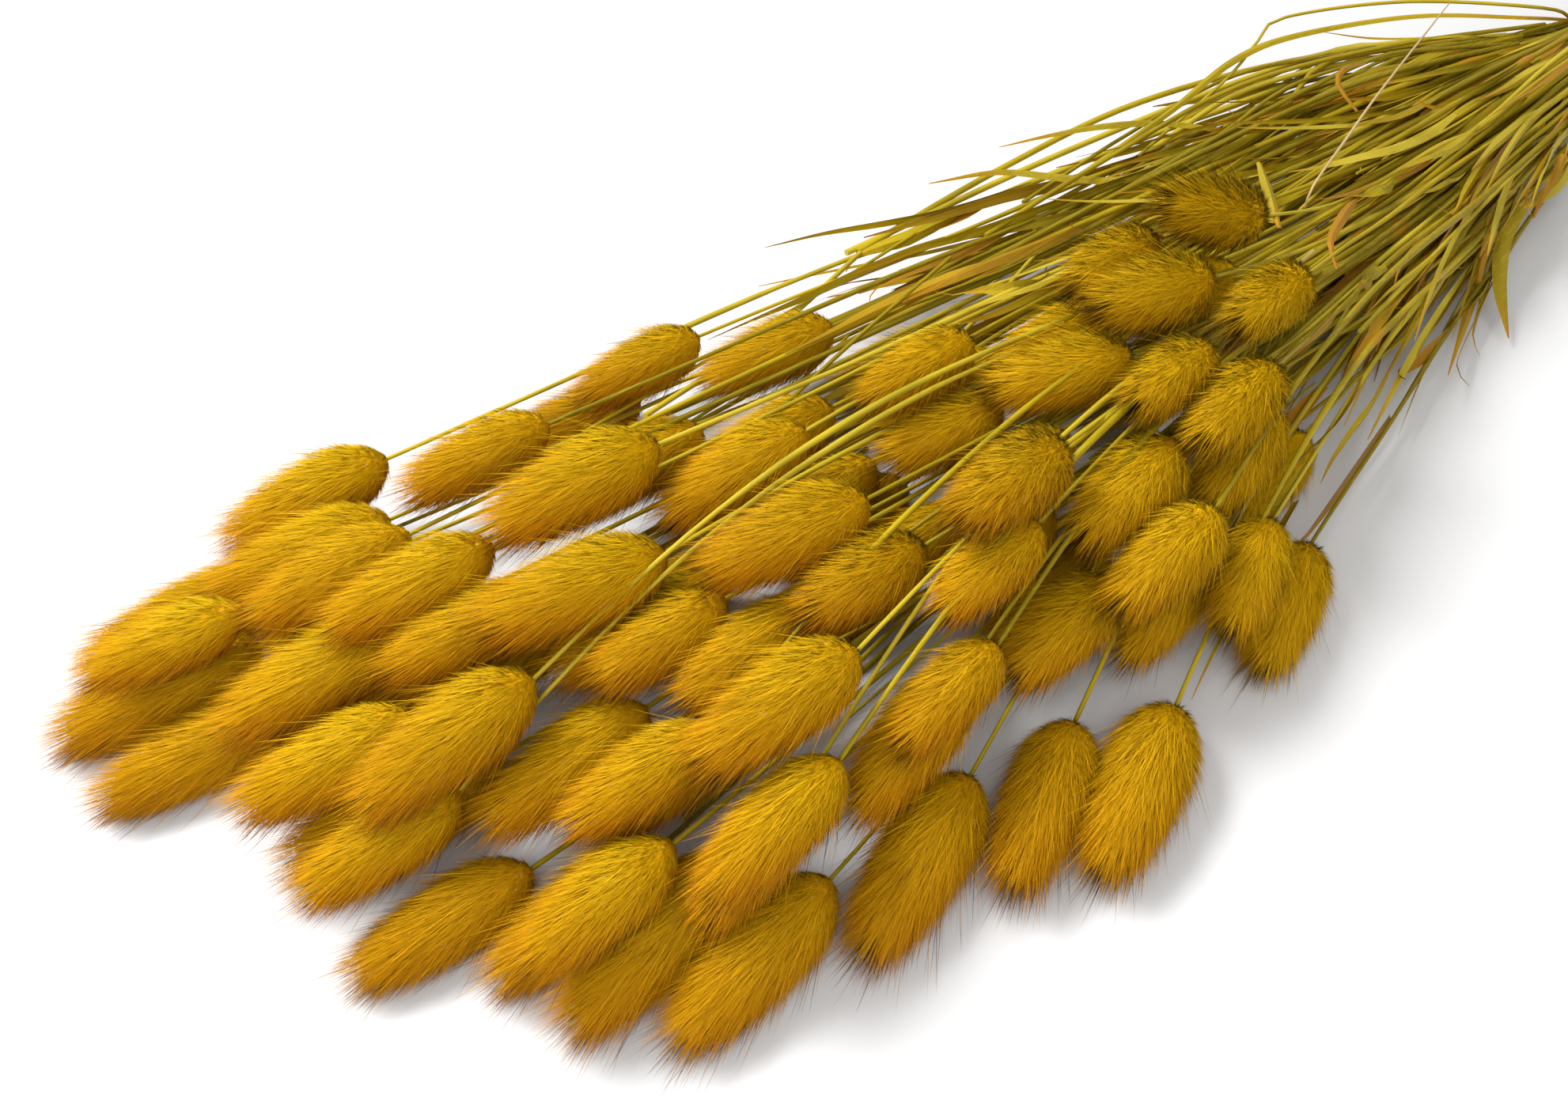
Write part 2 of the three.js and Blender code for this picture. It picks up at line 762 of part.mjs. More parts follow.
// An awn of one head caught in the fur of the next.
function awnSolid(one, other) {
  const a = one.points;
  const b = other.points;
  const [s, t] = closestShares(a[stemSteps], a[stemSteps + 1], b[stemSteps], b[stemSteps + 1]);
  const rootShare = (share) => THREE.MathUtils.clamp(share, awnRoot, 1 - awnRoot);
  const from = new THREE.Vector3().lerpVectors(a[stemSteps], a[stemSteps + 1], rootShare(s));
  const to = new THREE.Vector3().lerpVectors(b[stemSteps], b[stemSteps + 1], rootShare(t));
  const way = new THREE.Vector3().subVectors(to, from).normalize();
  return toSolid(skin([from, to].map((end) => ringAt(end, way, awnRadius, stemSides, 0))));
}

// What would reach below the surface is pressed flat on it.
function pressFlat(solid) {
  const { min, max } = solid.boundingBox();
  if (min[2] >= 0) {
    return solid;
  }
  const slab = new THREE.BoxGeometry(2 * (max[0] - min[0]), 2 * (max[1] - min[1]), floorSlab);
  slab.translate((min[0] + max[0]) / 2, (min[1] + max[1]) / 2, -floorSlab / 2);
  return solid.subtract(toSolid(slab));
}

function bandSolid() {
  const profile = [new THREE.Vector2(bandInside, bandHalf), new THREE.Vector2(bandInside, -bandHalf)];
  for (let turn = 0; turn < bandTurns; turn += 1) {
    const first = -bandHalf + turn * bandTurnWidth;
    const valley = bandInside + bandThickness * (turn === 0 ? bandRimShare : bandValleyShare);
    profile.push(new THREE.Vector2(valley, first));
    profile.push(new THREE.Vector2(bandOutside, first + bandTurnWidth * bandLobeFrom));
    profile.push(new THREE.Vector2(bandOutside, first + bandTurnWidth * bandLobeTo));
  }
  profile.push(new THREE.Vector2(bandInside + bandThickness * bandRimShare, bandHalf));
  profile.push(profile[0].clone());
  const ring = new THREE.LatheGeometry(profile, bandSides, Math.PI / bandSides);
  ring.rotateZ(-Math.PI / 2);
  ring.translate(0, 0, bandHeight);
  return toSolid(ring);
}

function pieceMesh(name, solid, material) {
  const mesh = new THREE.Mesh(toGeometry(solid), material);
  mesh.name = name;
  return mesh;
}

const bunch = new THREE.Group();
const { plants, partner } = growBunch();
const cutDraw = seededDraw(cutSeed);
for (const plant of plants) {
  plant.cut = cutLength + around(cutDraw, cutSpread);
}

const leaves = growLeaves(plants);
for (let group = 0; group < groupCount; group += 1) {
  const stems = plants.filter((plant) => plant.seat.group === group).map(stemSolid);
  const blades = leaves.filter((leaf) => leaf.group === group).map(leafSolid);
  const pressed = pressedSolid(group, bandSeats());
  bunch.add(pieceMesh(`stems_${group + 1}`, growTogether([pressed, ...stems, ...blades]), stemMaterial));
}

let singles = 0;
let pairs = 0;
plants.forEach((plant, index) => {
  const other = partner[index];
  if (other < 0) {
    singles += 1;
    const name = `head_${String(singles).padStart(2, "0")}`;
    bunch.add(pieceMesh(name, pressFlat(headSolid(plant)), furMaterial));
  } else if (index < other) {
    pairs += 1;
    const name = `head_pair_${String(pairs).padStart(2, "0")}`;
    const heads = [headSolid(plant), headSolid(plants[other])];
    const joined = growTogether([...heads, awnSolid(plant, plants[other])]);
    bunch.add(pieceMesh(name, pressFlat(joined), furMaterial));
  }
});

bunch.add(pieceMesh("band", bandSolid(), bandMaterial));

const box = new THREE.Box3().setFromObject(bunch);
bunch.position.set(-(box.min.x + box.max.x) / 2, -(box.min.y + box.max.y) / 2, -box.min.z);

export default bunch;
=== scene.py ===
# Dried bunny tail grass: seventy-eight cut stems, each with one furry seed head, held by a rubber band and
# lying on a pale surface. Metres, +Z up. The heads point along +X.
import json
import math

import bpy
import numpy as np
from mathutils import Euler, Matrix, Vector

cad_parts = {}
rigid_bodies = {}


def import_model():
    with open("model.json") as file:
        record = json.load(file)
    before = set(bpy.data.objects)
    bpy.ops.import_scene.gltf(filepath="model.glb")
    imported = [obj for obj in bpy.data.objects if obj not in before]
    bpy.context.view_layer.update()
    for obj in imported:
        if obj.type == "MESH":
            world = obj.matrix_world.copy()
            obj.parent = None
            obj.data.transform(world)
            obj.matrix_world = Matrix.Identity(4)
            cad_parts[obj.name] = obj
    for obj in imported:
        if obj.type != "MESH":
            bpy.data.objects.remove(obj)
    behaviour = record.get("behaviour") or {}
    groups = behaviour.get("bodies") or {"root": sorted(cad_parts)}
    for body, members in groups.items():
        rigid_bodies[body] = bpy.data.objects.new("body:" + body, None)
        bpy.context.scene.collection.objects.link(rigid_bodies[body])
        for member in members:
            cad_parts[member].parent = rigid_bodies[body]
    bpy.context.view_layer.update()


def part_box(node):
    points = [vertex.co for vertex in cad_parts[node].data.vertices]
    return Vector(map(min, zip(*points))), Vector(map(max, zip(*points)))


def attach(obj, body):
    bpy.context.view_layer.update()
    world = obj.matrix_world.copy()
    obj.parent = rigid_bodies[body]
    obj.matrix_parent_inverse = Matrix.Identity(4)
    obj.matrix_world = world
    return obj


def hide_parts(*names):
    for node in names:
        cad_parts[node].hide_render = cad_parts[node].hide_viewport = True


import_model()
mm = 0.001


# small helpers

def seededDraw(seed):
    # the same run of numbers from 0 to 1 as the solids were grown with
    state = [seed]
    def draw():
        whole = 0xFFFFFFFF
        state[0] = (state[0] + 0x6D2B79F5) & whole
        here = state[0]
        mixed = ((here ^ (here >> 15)) * (1 | here)) & whole
        mixed = ((mixed + (((mixed ^ (mixed >> 7)) * (61 | mixed)) & whole)) & whole) ^ mixed
        return (mixed ^ (mixed >> 14)) / 4294967296
    return draw


def around(draw, spread):
    return (draw() * 2 - 1) * spread


def unit(vector):
    return vector / np.linalg.norm(vector, axis=-1, keepdims=True)


def openSocket(sockets, name):
    # a socket by its number, or the one of that name that the node shows
    if isinstance(name, int):
        return sockets[name]
    return next(socket for socket in sockets if socket.name == name and socket.enabled)


def addNode(tree, kind, inputs=None, **settings):
    made = tree.nodes.new(kind)
    for name, value in settings.items():
        setattr(made, name, value)
    for name, value in (inputs or {}).items():
        target = openSocket(made.inputs, name)
        if isinstance(value, bpy.types.NodeSocket):
            tree.links.new(value, target)
        else:
            target.default_value = value
    return made


def math2(tree, operation, first, second=0.0, third=0.0):
    node = addNode(tree, "ShaderNodeMath", {0: first, 1: second, 2: third}, operation=operation)
    return node.outputs[0]


def vector2(tree, operation, first, second=(0, 0, 0)):
    node = addNode(tree, "ShaderNodeVectorMath", {0: first, 1: second}, operation=operation)
    return node.outputs[0]


def scaled(tree, vector, amount):
    node = addNode(tree, "ShaderNodeVectorMath", {0: vector, "Scale": amount}, operation="SCALE")
    return node.outputs[0]


def ranged(tree, value, fromMin, fromMax, toMin, toMax, smooth=False):
    kind = "SMOOTHSTEP" if smooth else "LINEAR"
    inputs = {"Value": value, "From Min": fromMin, "From Max": fromMax, "To Min": toMin, "To Max": toMax}
    return addNode(tree, "ShaderNodeMapRange", inputs, interpolation_type=kind).outputs[0]


def readField(tree, name, kind="FLOAT"):
    node = addNode(tree, "GeometryNodeInputNamedAttribute", {"Name": name}, data_type=kind)
    return openSocket(node.outputs, "Attribute")


def storeField(tree, geometry, name, value, kind="FLOAT", domain="POINT"):
    settings = {"data_type": kind, "domain": domain}
    inputs = {"Geometry": geometry, "Name": name, "Value": value}
    return addNode(tree, "GeometryNodeStoreNamedAttribute", inputs, **settings).outputs[0]


def randomField(tree, low, high, seed, kind="FLOAT"):
    node = addNode(tree, "FunctionNodeRandomValue", {"Min": low, "Max": high, "Seed": seed}, data_type=kind)
    return openSocket(node.outputs, "Value")


def newTree(name, sizes):
    # a geometry tree with one input for each size, whole numbers and materials among them
    tree = bpy.data.node_groups.new(name, "GeometryNodeTree")
    tree.interface.new_socket("Geometry", in_out="INPUT", socket_type="NodeSocketGeometry")
    tree.interface.new_socket("Geometry", in_out="OUTPUT", socket_type="NodeSocketGeometry")
    kinds = {float: "NodeSocketFloat", int: "NodeSocketInt", bpy.types.Material: "NodeSocketMaterial"}
    for label, value in sizes.items():
        socket = tree.interface.new_socket(label, in_out="INPUT", socket_type=kinds[type(value)])
        socket.default_value = value
    start = addNode(tree, "NodeGroupInput")
    end = addNode(tree, "NodeGroupOutput")
    return tree, start.outputs, end.inputs


def growMesh(source, tree, sizes, name):
    # runs a tree on a source mesh and keeps the result as a plain mesh of its own
    modifier = source.modifiers.new(tree.name, "NODES")
    modifier.node_group = tree
    for item in tree.interface.items_tree:
        if item.in_out == "INPUT" and item.name in sizes:
            modifier[item.identifier] = sizes[item.name]
    evaluated = source.evaluated_get(bpy.context.evaluated_depsgraph_get())
    mesh = bpy.data.meshes.new_from_object(evaluated)
    source.modifiers.remove(modifier)
    mesh.name = name
    piece = bpy.data.objects.new(name, mesh)
    bpy.context.scene.collection.objects.link(piece)
    return piece


def newObject(name, mesh):
    made = bpy.data.objects.new(name, mesh)
    bpy.context.scene.collection.objects.link(made)
    return made


def setField(mesh, name, values, kind="FLOAT"):
    layer = mesh.attributes.new(name, kind, "POINT")
    key = "vector" if kind == "FLOAT_VECTOR" else "value"
    layer.data.foreach_set(key, np.asarray(values, dtype=np.float32).ravel())


def dropSource(source):
    mesh = source.data
    bpy.data.objects.remove(source)
    bpy.data.meshes.remove(mesh)


# how the bunch grew, in millimetres from the band's middle

# each tier: height near the tips, its rise towards the band, and [how far past the band, how far aside]
tiers = [
    (11, 2, [
        [582, -96], [566, -110], [590, -60], [570, 24], [555, 4], [545, 36], [532, 46], [518, 58],
        [545, -44], [470, 60], [436, 64], [435, -102], [412, 74], [425, 8], [400, -16], [332, 64],
        [335, -58], [290, 48],
    ]),
    (26, 6, [
        [585, -80], [574, 4], [572, -30], [548, 52], [535, -92], [532, -68], [522, -115], [524, 10],
        [512, 60], [515, 32], [515, -46], [485, -4], [465, -22], [458, 54], [445, -62], [420, -84],
        [415, -12], [412, -40], [404, 58], [400, 36], [385, 50], [384, -68], [366, 62], [352, 66],
        [315, 50], [556, -56],
    ]),
    (41, 13, [
        [548, -6], [540, -66], [530, -40], [526, -22], [525, 36], [510, 58], [500, -12], [495, 12],
        [490, 48], [490, -70], [480, -36], [480, 28], [456, 54], [452, 12], [448, 32], [425, 46],
        [415, 18], [410, 38], [388, 26], [385, 4], [382, -16], [378, 54], [365, 46], [350, 18],
        [340, 36], [330, 50], [335, 9], [312, 7], [298, 36], [292, 20], [278, 9], [440, -20],
        [362, -2], [318, 26],
    ]),
]

# where the photograph was taken from: millimetres, degrees and pixels
camera = {
    "place": (680, 232, 348), "pitch": 45.0, "heading": 227.5, "focalPixels": 2050, "imageWidth": 1982,
    "imageHeight": 1416, "sensorWidth": 36, "clipStart": 0.01,
}

growth = {
    "farthestReach": 600, "headLength": 45, "headRadius": 9.8, "sizeSpread": 0.12, "headDroop": 4,
    "headTurn": 5, "fusedPairs": 25, "pressDepth": 1.0, "groupCount": 6, "groupRows": 5, "stemPitch": 3.5,
    "groupApex": 4.2, "radiusAtBand": 1.8, "radiusAtHead": 1.0, "steps": 6, "sway": 7, "farSide": 100,
    "farSideBow": 0.5, "bunchSeed": 20, "cutSeed": 7, "cutLength": 72, "cutSpread": 9, "cutFlare": 0.2,
    "bandGap": 0.35, "bandThickness": 1.9, "bandSides": 16, "bandHalf": 5.1, "waistMargin": 2,
    "stemGap": 0.4, "headGap": 0.7, "roundedBase": 0.75, "roundedTip": 0.7, "floorGap": 0.1, "floorDip": 1.5,
    "rounds": 600, "listRounds": 20, "listMargin": 8, "pushStep": 1.2, "drawStep": 0.3, "homeStep": 0.02,
    "homeUntil": 0.55, "stiffEarly": 0.25, "stiffLate": 0.06, "stiffUntil": 0.7, "alongStep": 0.2,
    "floorStep": 0.15,
}
steps = growth["steps"]
rowSpace = growth["stemPitch"] * math.cos(math.pi / 6)
outmost = math.hypot(growth["groupApex"] + (growth["groupRows"] - 1) * rowSpace, growth["stemPitch"])
bandInside = outmost + growth["radiusAtBand"] + growth["bandGap"]
bandOutside = bandInside + growth["bandThickness"]
bandHeight = bandOutside * math.cos(math.pi / growth["bandSides"])
waistHalf = growth["bandHalf"] + growth["waistMargin"]


def bandSeats():
    seats = []
    for group in range(growth["groupCount"]):
        turn = (group / growth["groupCount"] * 2 - 0.5) * math.pi
        for row in range(growth["groupRows"]):
            trim = 1 if row == growth["groupRows"] - 1 else 0
            for seat in range(trim, row - trim + 1):
                out = growth["groupApex"] + row * rowSpace
                across = (seat - row / 2) * growth["stemPitch"]
                y = out * math.cos(turn) - across * math.sin(turn)
                z = bandHeight + out * math.sin(turn) + across * math.cos(turn)
                seats.append((group, y, z))
    return seats


def takeSeats(aims, seats):
    # two stems that would cross on their way out of the band change seats
    seatOf = list(range(len(aims)))
    changed = True
    while changed:
        changed = False
        for i in range(len(aims)):
            for k in range(i + 1, len(aims)):
                a, b = seats[seatOf[i]], seats[seatOf[k]]
                ahead = (aims[i][0] - aims[k][0]) * (a[1] - b[1])
                if ahead + (aims[i][1] - aims[k][1]) * (a[2] - b[2]) < -1e-9:
                    seatOf[i], seatOf[k] = seatOf[k], seatOf[i]
                    changed = True
    return [seats[seat] for seat in seatOf]


def stemRadius(share):
    return growth["radiusAtBand"] + (growth["radiusAtHead"] - growth["radiusAtBand"]) * share


def closestShares(p1, q1, p2, q2):
    # where straight lengths come closest, as a share of each, for whole lists at once
    d1, d2, r = q1 - p1, q2 - p2, p1 - p2
    a, e, b = (d1 * d1).sum(-1), (d2 * d2).sum(-1), (d1 * d2).sum(-1)
    f, c = (d2 * r).sum(-1), (d1 * r).sum(-1)
    spread = a * e - b * b
    level = spread > 1e-9 * a * e
    s = np.where(level, np.clip((b * f - c * e) / np.where(level, spread, 1), 0, 1), 0)
    t = (b * s + f) / e
    s = np.where(t < 0, np.clip(-c / a, 0, 1), np.where(t > 1, np.clip((b - c) / a, 0, 1), s))
    return s, np.clip(t, 0, 1)


def growPlants():
    draw = seededDraw(growth["bunchSeed"])
    places = []
    for index, (height, rise, spots) in enumerate(tiers):
        for reach, side in spots:
            top = height + rise * (1 - reach / growth["farthestReach"])
            places.append((reach, side, top, index == 0))
    aims = [(side / reach, (top - bandHeight) / reach) for reach, side, top, lowest in places]
    seats = takeSeats(aims, bandSeats())
    plants = []
    for (reach, side, top, lowest), (group, seatY, seatZ) in zip(places, seats):
        size = 1 + around(draw, growth["sizeSpread"])
        sway = around(draw, growth["sway"])
        lift = around(draw, growth["sway"] / 3)
        bow = 1 - growth["farSideBow"] * min(1, max(0, -side / growth["farSide"]))
        points = []
        for step in range(steps + 1):
            share = step / steps
            spread = share ** bow
            wave = math.sin(math.pi * share)
            points.append([
                waistHalf + (reach - waistHalf) * share,
                seatY + (side - seatY) * spread + sway * wave,
                seatZ + (top - seatZ) * spread + lift * wave,
            ])
        aim = unit(np.array(points[steps]) - points[steps - 1])
        tip = np.array(points[steps]) + aim * growth["headLength"] * size
        tip[1] += around(draw, growth["headTurn"])
        tip[2] -= draw() * growth["headDroop"]
        points.append(tip)
        phase = draw() * 2 * math.pi
        plants.append({
            "points": np.array(points, dtype=float), "group": group, "seat": (seatY, seatZ), "lowest": lowest,
            "length": growth["headLength"] * size, "radius": growth["headRadius"] * size, "phase": phase,
        })
    return plants


def pressedPairs(plants):
    # heads that lie closest, two and two
    found = []
    for i, one in enumerate(plants):
        for k in range(i + 1, len(plants)):
            gaps = one["points"][steps:] - plants[k]["points"][steps:]
            found.append((float(np.linalg.norm(gaps, axis=1).sum()), i, k))
    found.sort(key=lambda entry: entry[0])
    partner = [-1] * len(plants)
    left = growth["fusedPairs"]
    for _, i, k in found:
        if left > 0 and partner[i] < 0 and partner[k] < 0:
            partner[i], partner[k] = k, i
            left -= 1
    return partner


def bendsOf(points):
    before = np.linalg.norm(points[:, 1:-1] - points[:, :-2], axis=2)
    after = np.linalg.norm(points[:, 2:] - points[:, 1:-1], axis=2)
    share = (before / (before + after))[..., None]
    return share, points[:, :-2] + (points[:, 2:] - points[:, :-2]) * share - points[:, 1:-1]


def settle(plants, partner):
    # stems and heads push each other aside until they only touch, as the solids did
    points = np.stack([plant["points"] for plant in plants])
    grown = points.copy()
    bendShare, bendOff = bendsOf(points)
    length = np.array([plant["length"] for plant in plants])
    radius = np.array([plant["radius"] for plant in plants])
    lowest = np.array([plant["lowest"] for plant in plants])
    count = len(plants)
    owner = np.repeat(np.arange(count), steps + 1)
    step = np.tile(np.arange(steps + 1), count)
    isHead = step == steps
    limbFrom = np.where(isHead, growth["roundedBase"] * radius[owner] / length[owner], 0)
    limbTo = np.where(isHead, 1 - growth["roundedTip"] * radius[owner] / length[owner], 1)
    limbRadius = np.where(isHead, radius[owner], stemRadius(step / steps))
    first, second = np.triu_indices(len(owner), 1)
    apart = owner[first] != owner[second]
    first, second = first[apart], second[apart]
    partnerOf = np.array(partner)
    bothHeads = isHead[first] & isHead[second]
    pressed = bothHeads & (partnerOf[owner[first]] == owner[second])
    gap = np.where(isHead[first] | isHead[second], growth["headGap"], growth["stemGap"])
    least = limbRadius[first] + limbRadius[second] + np.where(pressed, -growth["pressDepth"], gap)

    def along(limb, share):
        low, high = points[owner[limb], step[limb]], points[owner[limb], step[limb] + 1]
        here = limbFrom[limb] + (limbTo[limb] - limbFrom[limb]) * share
        return low + (high - low) * here[:, None]

    near = None
    everyLimb = np.arange(len(owner))
    for turn in range(growth["rounds"]):
        if turn % growth["listRounds"] == 0:
            middle = along(everyLimb, 0.5)
            half = np.linalg.norm(along(everyLimb, 0.0) - along(everyLimb, 1.0), axis=1) / 2
            room = half[first] + half[second] + least + growth["listMargin"]
            near = pressed | (np.linalg.norm(middle[first] - middle[second], axis=1) < room)
            one, other, need, isPressed = first[near], second[near], least[near], pressed[near]
        late = turn / growth["rounds"]
        p1, q1, p2, q2 = along(one, 0.0), along(one, 1.0), along(other, 0.0), along(other, 1.0)
        s, t = closestShares(p1, q1, p2, q2)
        way = p1 + (q1 - p1) * s[:, None] - (p2 + (q2 - p2) * t[:, None])
        distance = np.linalg.norm(way, axis=1)
        acts = (distance < need) | isPressed
        way = way / np.maximum(distance, 1e-6)[:, None]
        size = (need - distance) / 2 * np.where(isPressed & (distance > need), growth["drawStep"], 1)
        shift = np.zeros_like(points)
        weight = np.zeros(points.shape[:2])
        for limb, share, amount in ((one[acts], s[acts], size[acts]), (other[acts], t[acts], -size[acts])):
            there = limbFrom[limb] + (limbTo[limb] - limbFrom[limb]) * share
            spread = (1 - there) ** 2 + there ** 2
            push = way[acts] * (amount / spread)[:, None]
            np.add.at(shift, (owner[limb], step[limb]), push * (1 - there)[:, None])
            np.add.at(weight, (owner[limb], step[limb]), 1 - there)
            np.add.at(shift, (owner[limb], step[limb] + 1), push * there[:, None])
            np.add.at(weight, (owner[limb], step[limb] + 1), there)
        points[:, 1:] += (shift * (growth["pushStep"] / np.maximum(1, weight))[..., None])[:, 1:]
        if late < growth["homeUntil"]:
            points[:, 1:] += (grown[:, 1:] - points[:, 1:]) * growth["homeStep"]
        stiffness = growth["stiffEarly"] if late < growth["stiffUntil"] else growth["stiffLate"]
        for here in range(1, steps + 1):
            share, off = bendShare[:, here - 1], bendOff[:, here - 1]
            strain = points[:, here - 1] + (points[:, here + 1] - points[:, here - 1]) * share
            strain = (strain - points[:, here] - off) * (stiffness / 2)
            points[:, here] += strain
            points[:, here + 1] -= strain * share
            if here > 1:
                points[:, here - 1] += strain * (share - 1)
        ahead = slice(1, steps + 1)
        points[:, ahead, 0] += (grown[:, ahead, 0] - points[:, ahead, 0]) * growth["alongStep"]
        aim = unit(points[:, steps + 1] - points[:, steps])
        points[:, steps + 1] = points[:, steps] + aim * length[:, None]
        for here in range(1, steps):
            lowestHere = stemRadius(here / steps) + growth["floorGap"]
            points[:, here, 2] = np.maximum(points[:, here, 2], lowestHere)
        for here in (steps, steps + 1):
            above = points[:, here, 2] - (radius - growth["floorDip"])
            points[:, here, 2] -= np.where(above < 0, above, above * np.where(lowest, growth["floorStep"], 0))
    for plant, settled in zip(plants, points):
        plant["points"] = settled


plants = growPlants()
partner = pressedPairs(plants)
settle(plants, partner)
cutDraw = seededDraw(growth["cutSeed"])
for plant in plants:
    plant["cut"] = growth["cutLength"] + around(cutDraw, growth["cutSpread"])
bandLow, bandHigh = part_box("band")
shift = np.array([(bandLow.x + bandHigh.x) / 2, (bandLow.y + bandHigh.y) / 2, 0]) / mm
print("grown:", len(plants), "plants; the band's middle is at", (shift * mm).round(5))


def growLeaves(plants):
    # the broad dry blades of the solids: 22 that leave the outer stems where there is room
    draw = seededDraw(blade["seed"])
    allFrom = np.concatenate([plant["points"][:-1] for plant in plants])
    allTo = np.concatenate([plant["points"][1:] for plant in plants])
    part = np.tile(np.arange(steps + 1), len(plants))
    owner = np.repeat(np.arange(len(plants)), steps + 1)
    thick = np.where(part < steps, stemRadius(part / steps), [plants[index]["radius"] for index in owner])
    leaves = []
    for attempt in range(blade["tries"]):
        if len(leaves) == blade["count"]:
            break
        index = int(draw() * len(plants))
        root = blade["firstRoot"] + draw() * (blade["lastRoot"] - blade["firstRoot"])
        lean = blade["lean"] * (0.6 + draw())
        start, ahead = stemAt(plants[index], root), stemAt(plants[index], root + blade["aimSpan"])
        if start is None or ahead is None:
            continue
        way = unit(ahead - start)
        crossing = [stemAt(plant, root) for plant in plants]
        out = start - np.mean([point for point in crossing if point is not None], axis=0)
        out = unit(out - way * (out @ way))
        across = np.cross(way, out)
        length = blade["length"] + around(draw, blade["lengthSpread"])
        curl = around(draw, blade["curl"])
        swing = around(draw, blade["swing"])
        share = (np.arange(blade["steps"] + 1) / blade["steps"])[:, None]
        points = start + way * length * share + out * length * (lean * share + curl * share * share)
        points = points + across * length * swing * share * share
        twist = around(draw, blade["twist"])
        clear = True
        for step in range(blade["steps"]):
            low, high = points[step], points[step + 1]
            own = leafHalfWidth((step + 0.5) / blade["steps"]) + growth["stemGap"]
            near = (owner != index) | (part == steps)
            s, t = closestShares(low, high, allFrom, allTo)
            apart = low + (high - low) * s[:, None] - allFrom - (allTo - allFrom) * t[:, None]
            clear = clear and min(low[2], high[2]) >= own
            clear = clear and not (near & (np.linalg.norm(apart, axis=1) < own + thick)).any()
            for other in leaves:
                s, t = closestShares(low, high, other["points"][:-1], other["points"][1:])
                there = other["points"][:-1] + (other["points"][1:] - other["points"][:-1]) * t[:, None]
                apart = np.linalg.norm(low + (high - low) * s[:, None] - there, axis=1)
                clear = clear and not (apart < own + blade["width"] / 2).any()
            if not clear:
                break
        if clear:
            leaves.append({"points": points, "out": out, "twist": twist, "group": plants[index]["group"]})
    return leaves


def stemAt(plant, along):
    # the point of a stem at a distance from the band, if it reaches that far
    points = plant["points"]
    for step in range(steps):
        if points[step][0] <= along < points[step + 1][0]:
            share = (along - points[step][0]) / (points[step + 1][0] - points[step][0])
            return points[step] + (points[step + 1] - points[step]) * share
    return None


def leafHalfWidth(share):
    foot = blade["footShare"] + blade["footRise"] * share
    point = blade["tipShare"] + blade["tipRise"] * (1 - share)
    return blade["width"] / 2 * np.minimum(np.minimum(foot, 1), point)


blade = {
    "count": 22, "length": 88, "lengthSpread": 24, "width": 4.8, "steps": 5, "firstRoot": 45, "lastRoot": 280,
    "lean": 0.16, "curl": 0.12, "swing": 0.1, "twist": 1.2, "footShare": 0.45, "footRise": 2.2,
    "tipShare": 0.08, "tipRise": 1.5, "aimSpan": 20, "tries": 900, "widthPoints": 9, "seed": 138,
}
leaves = growLeaves(plants)
print("grown:", len(leaves), "broad blades")


# finishes

def newGroup(name, inputs, outputs):
    # a shader node group; each output is a mask or a height
    group = bpy.data.node_groups.new(name, "ShaderNodeTree")
    for label, kind, value in inputs:
        socket = group.interface.new_socket(label, in_out="INPUT", socket_type=kind)
        if value is not None:
            socket.default_value = value
    for label in outputs:
        group.interface.new_socket(label, in_out="OUTPUT", socket_type="NodeSocketFloat")
    start = addNode(group, "NodeGroupInput")
    end = addNode(group, "NodeGroupOutput")
    return group, start.outputs, end.inputs


def buildStreaks():
    # fine fibres drawn out along X, and slow patches under them
    inputs = [("Vector", "NodeSocketVector", None), ("Across", "NodeSocketFloat", 900.0),
              ("Along", "NodeSocketFloat", 40.0), ("Patches", "NodeSocketFloat", 25.0)]
    group, given, result = newGroup("fibreStreaks", inputs, ["Fibre", "Patch"])
    across, along = given["Across"], given["Along"]
    stretch = addNode(group, "ShaderNodeCombineXYZ", {"X": along, "Y": across, "Z": across}).outputs[0]
    stretched = vector2(group, "MULTIPLY", given["Vector"], stretch)
    fibre = addNode(group, "ShaderNodeTexNoise", {"Vector": stretched, "Scale": 1.0, "Detail": 3.0})
    patch = addNode(group, "ShaderNodeTexNoise",
                    {"Vector": given["Vector"], "Scale": given["Patches"], "Detail": 2.0})
    group.links.new(fibre.outputs[0], result["Fibre"])
    group.links.new(patch.outputs[0], result["Patch"])
    return group


def buildFlecks():
    # small scattered spots, such as specks of chaff
    inputs = [("Vector", "NodeSocketVector", None), ("Scale", "NodeSocketFloat", 400.0),
              ("Share", "NodeSocketFloat", 0.1), ("Softness", "NodeSocketFloat", 1.6)]
    group, given, result = newGroup("scatteredFlecks", inputs, ["Fleck"])
    cells = addNode(group, "ShaderNodeTexVoronoi", {"Vector": given["Vector"], "Scale": given["Scale"]})
    edge = math2(group, "MULTIPLY", given["Share"], given["Softness"])
    mask = ranged(group, cells.outputs["Distance"], given["Share"], edge, 1.0, 0.0)
    group.links.new(mask, result["Fleck"])
    return group


streaks = buildStreaks()
flecks = buildFlecks()


def newMaterial(name, constants):
    material = bpy.data.materials.new(name)
    material.use_nodes = True
    tree = material.node_tree
    shader = tree.nodes["Principled BSDF"]
    for label, value in constants.items():
        shader.inputs[label].default_value = value
    return material, tree, shader


def attribute(tree, name):
    return addNode(tree, "ShaderNodeAttribute", attribute_name=name)


def ramp(tree, factor, stops):
    # a colour ramp through (place, red, green, blue)
    node = addNode(tree, "ShaderNodeValToRGB", {"Fac": factor})
    points = node.color_ramp.elements
    while len(points) < len(stops):
        points.new(0.5)
    for point, (place, red, green, blue) in zip(points, stops):
        point.position = place
        point.color = (red, green, blue, 1)
    return node.outputs[0]


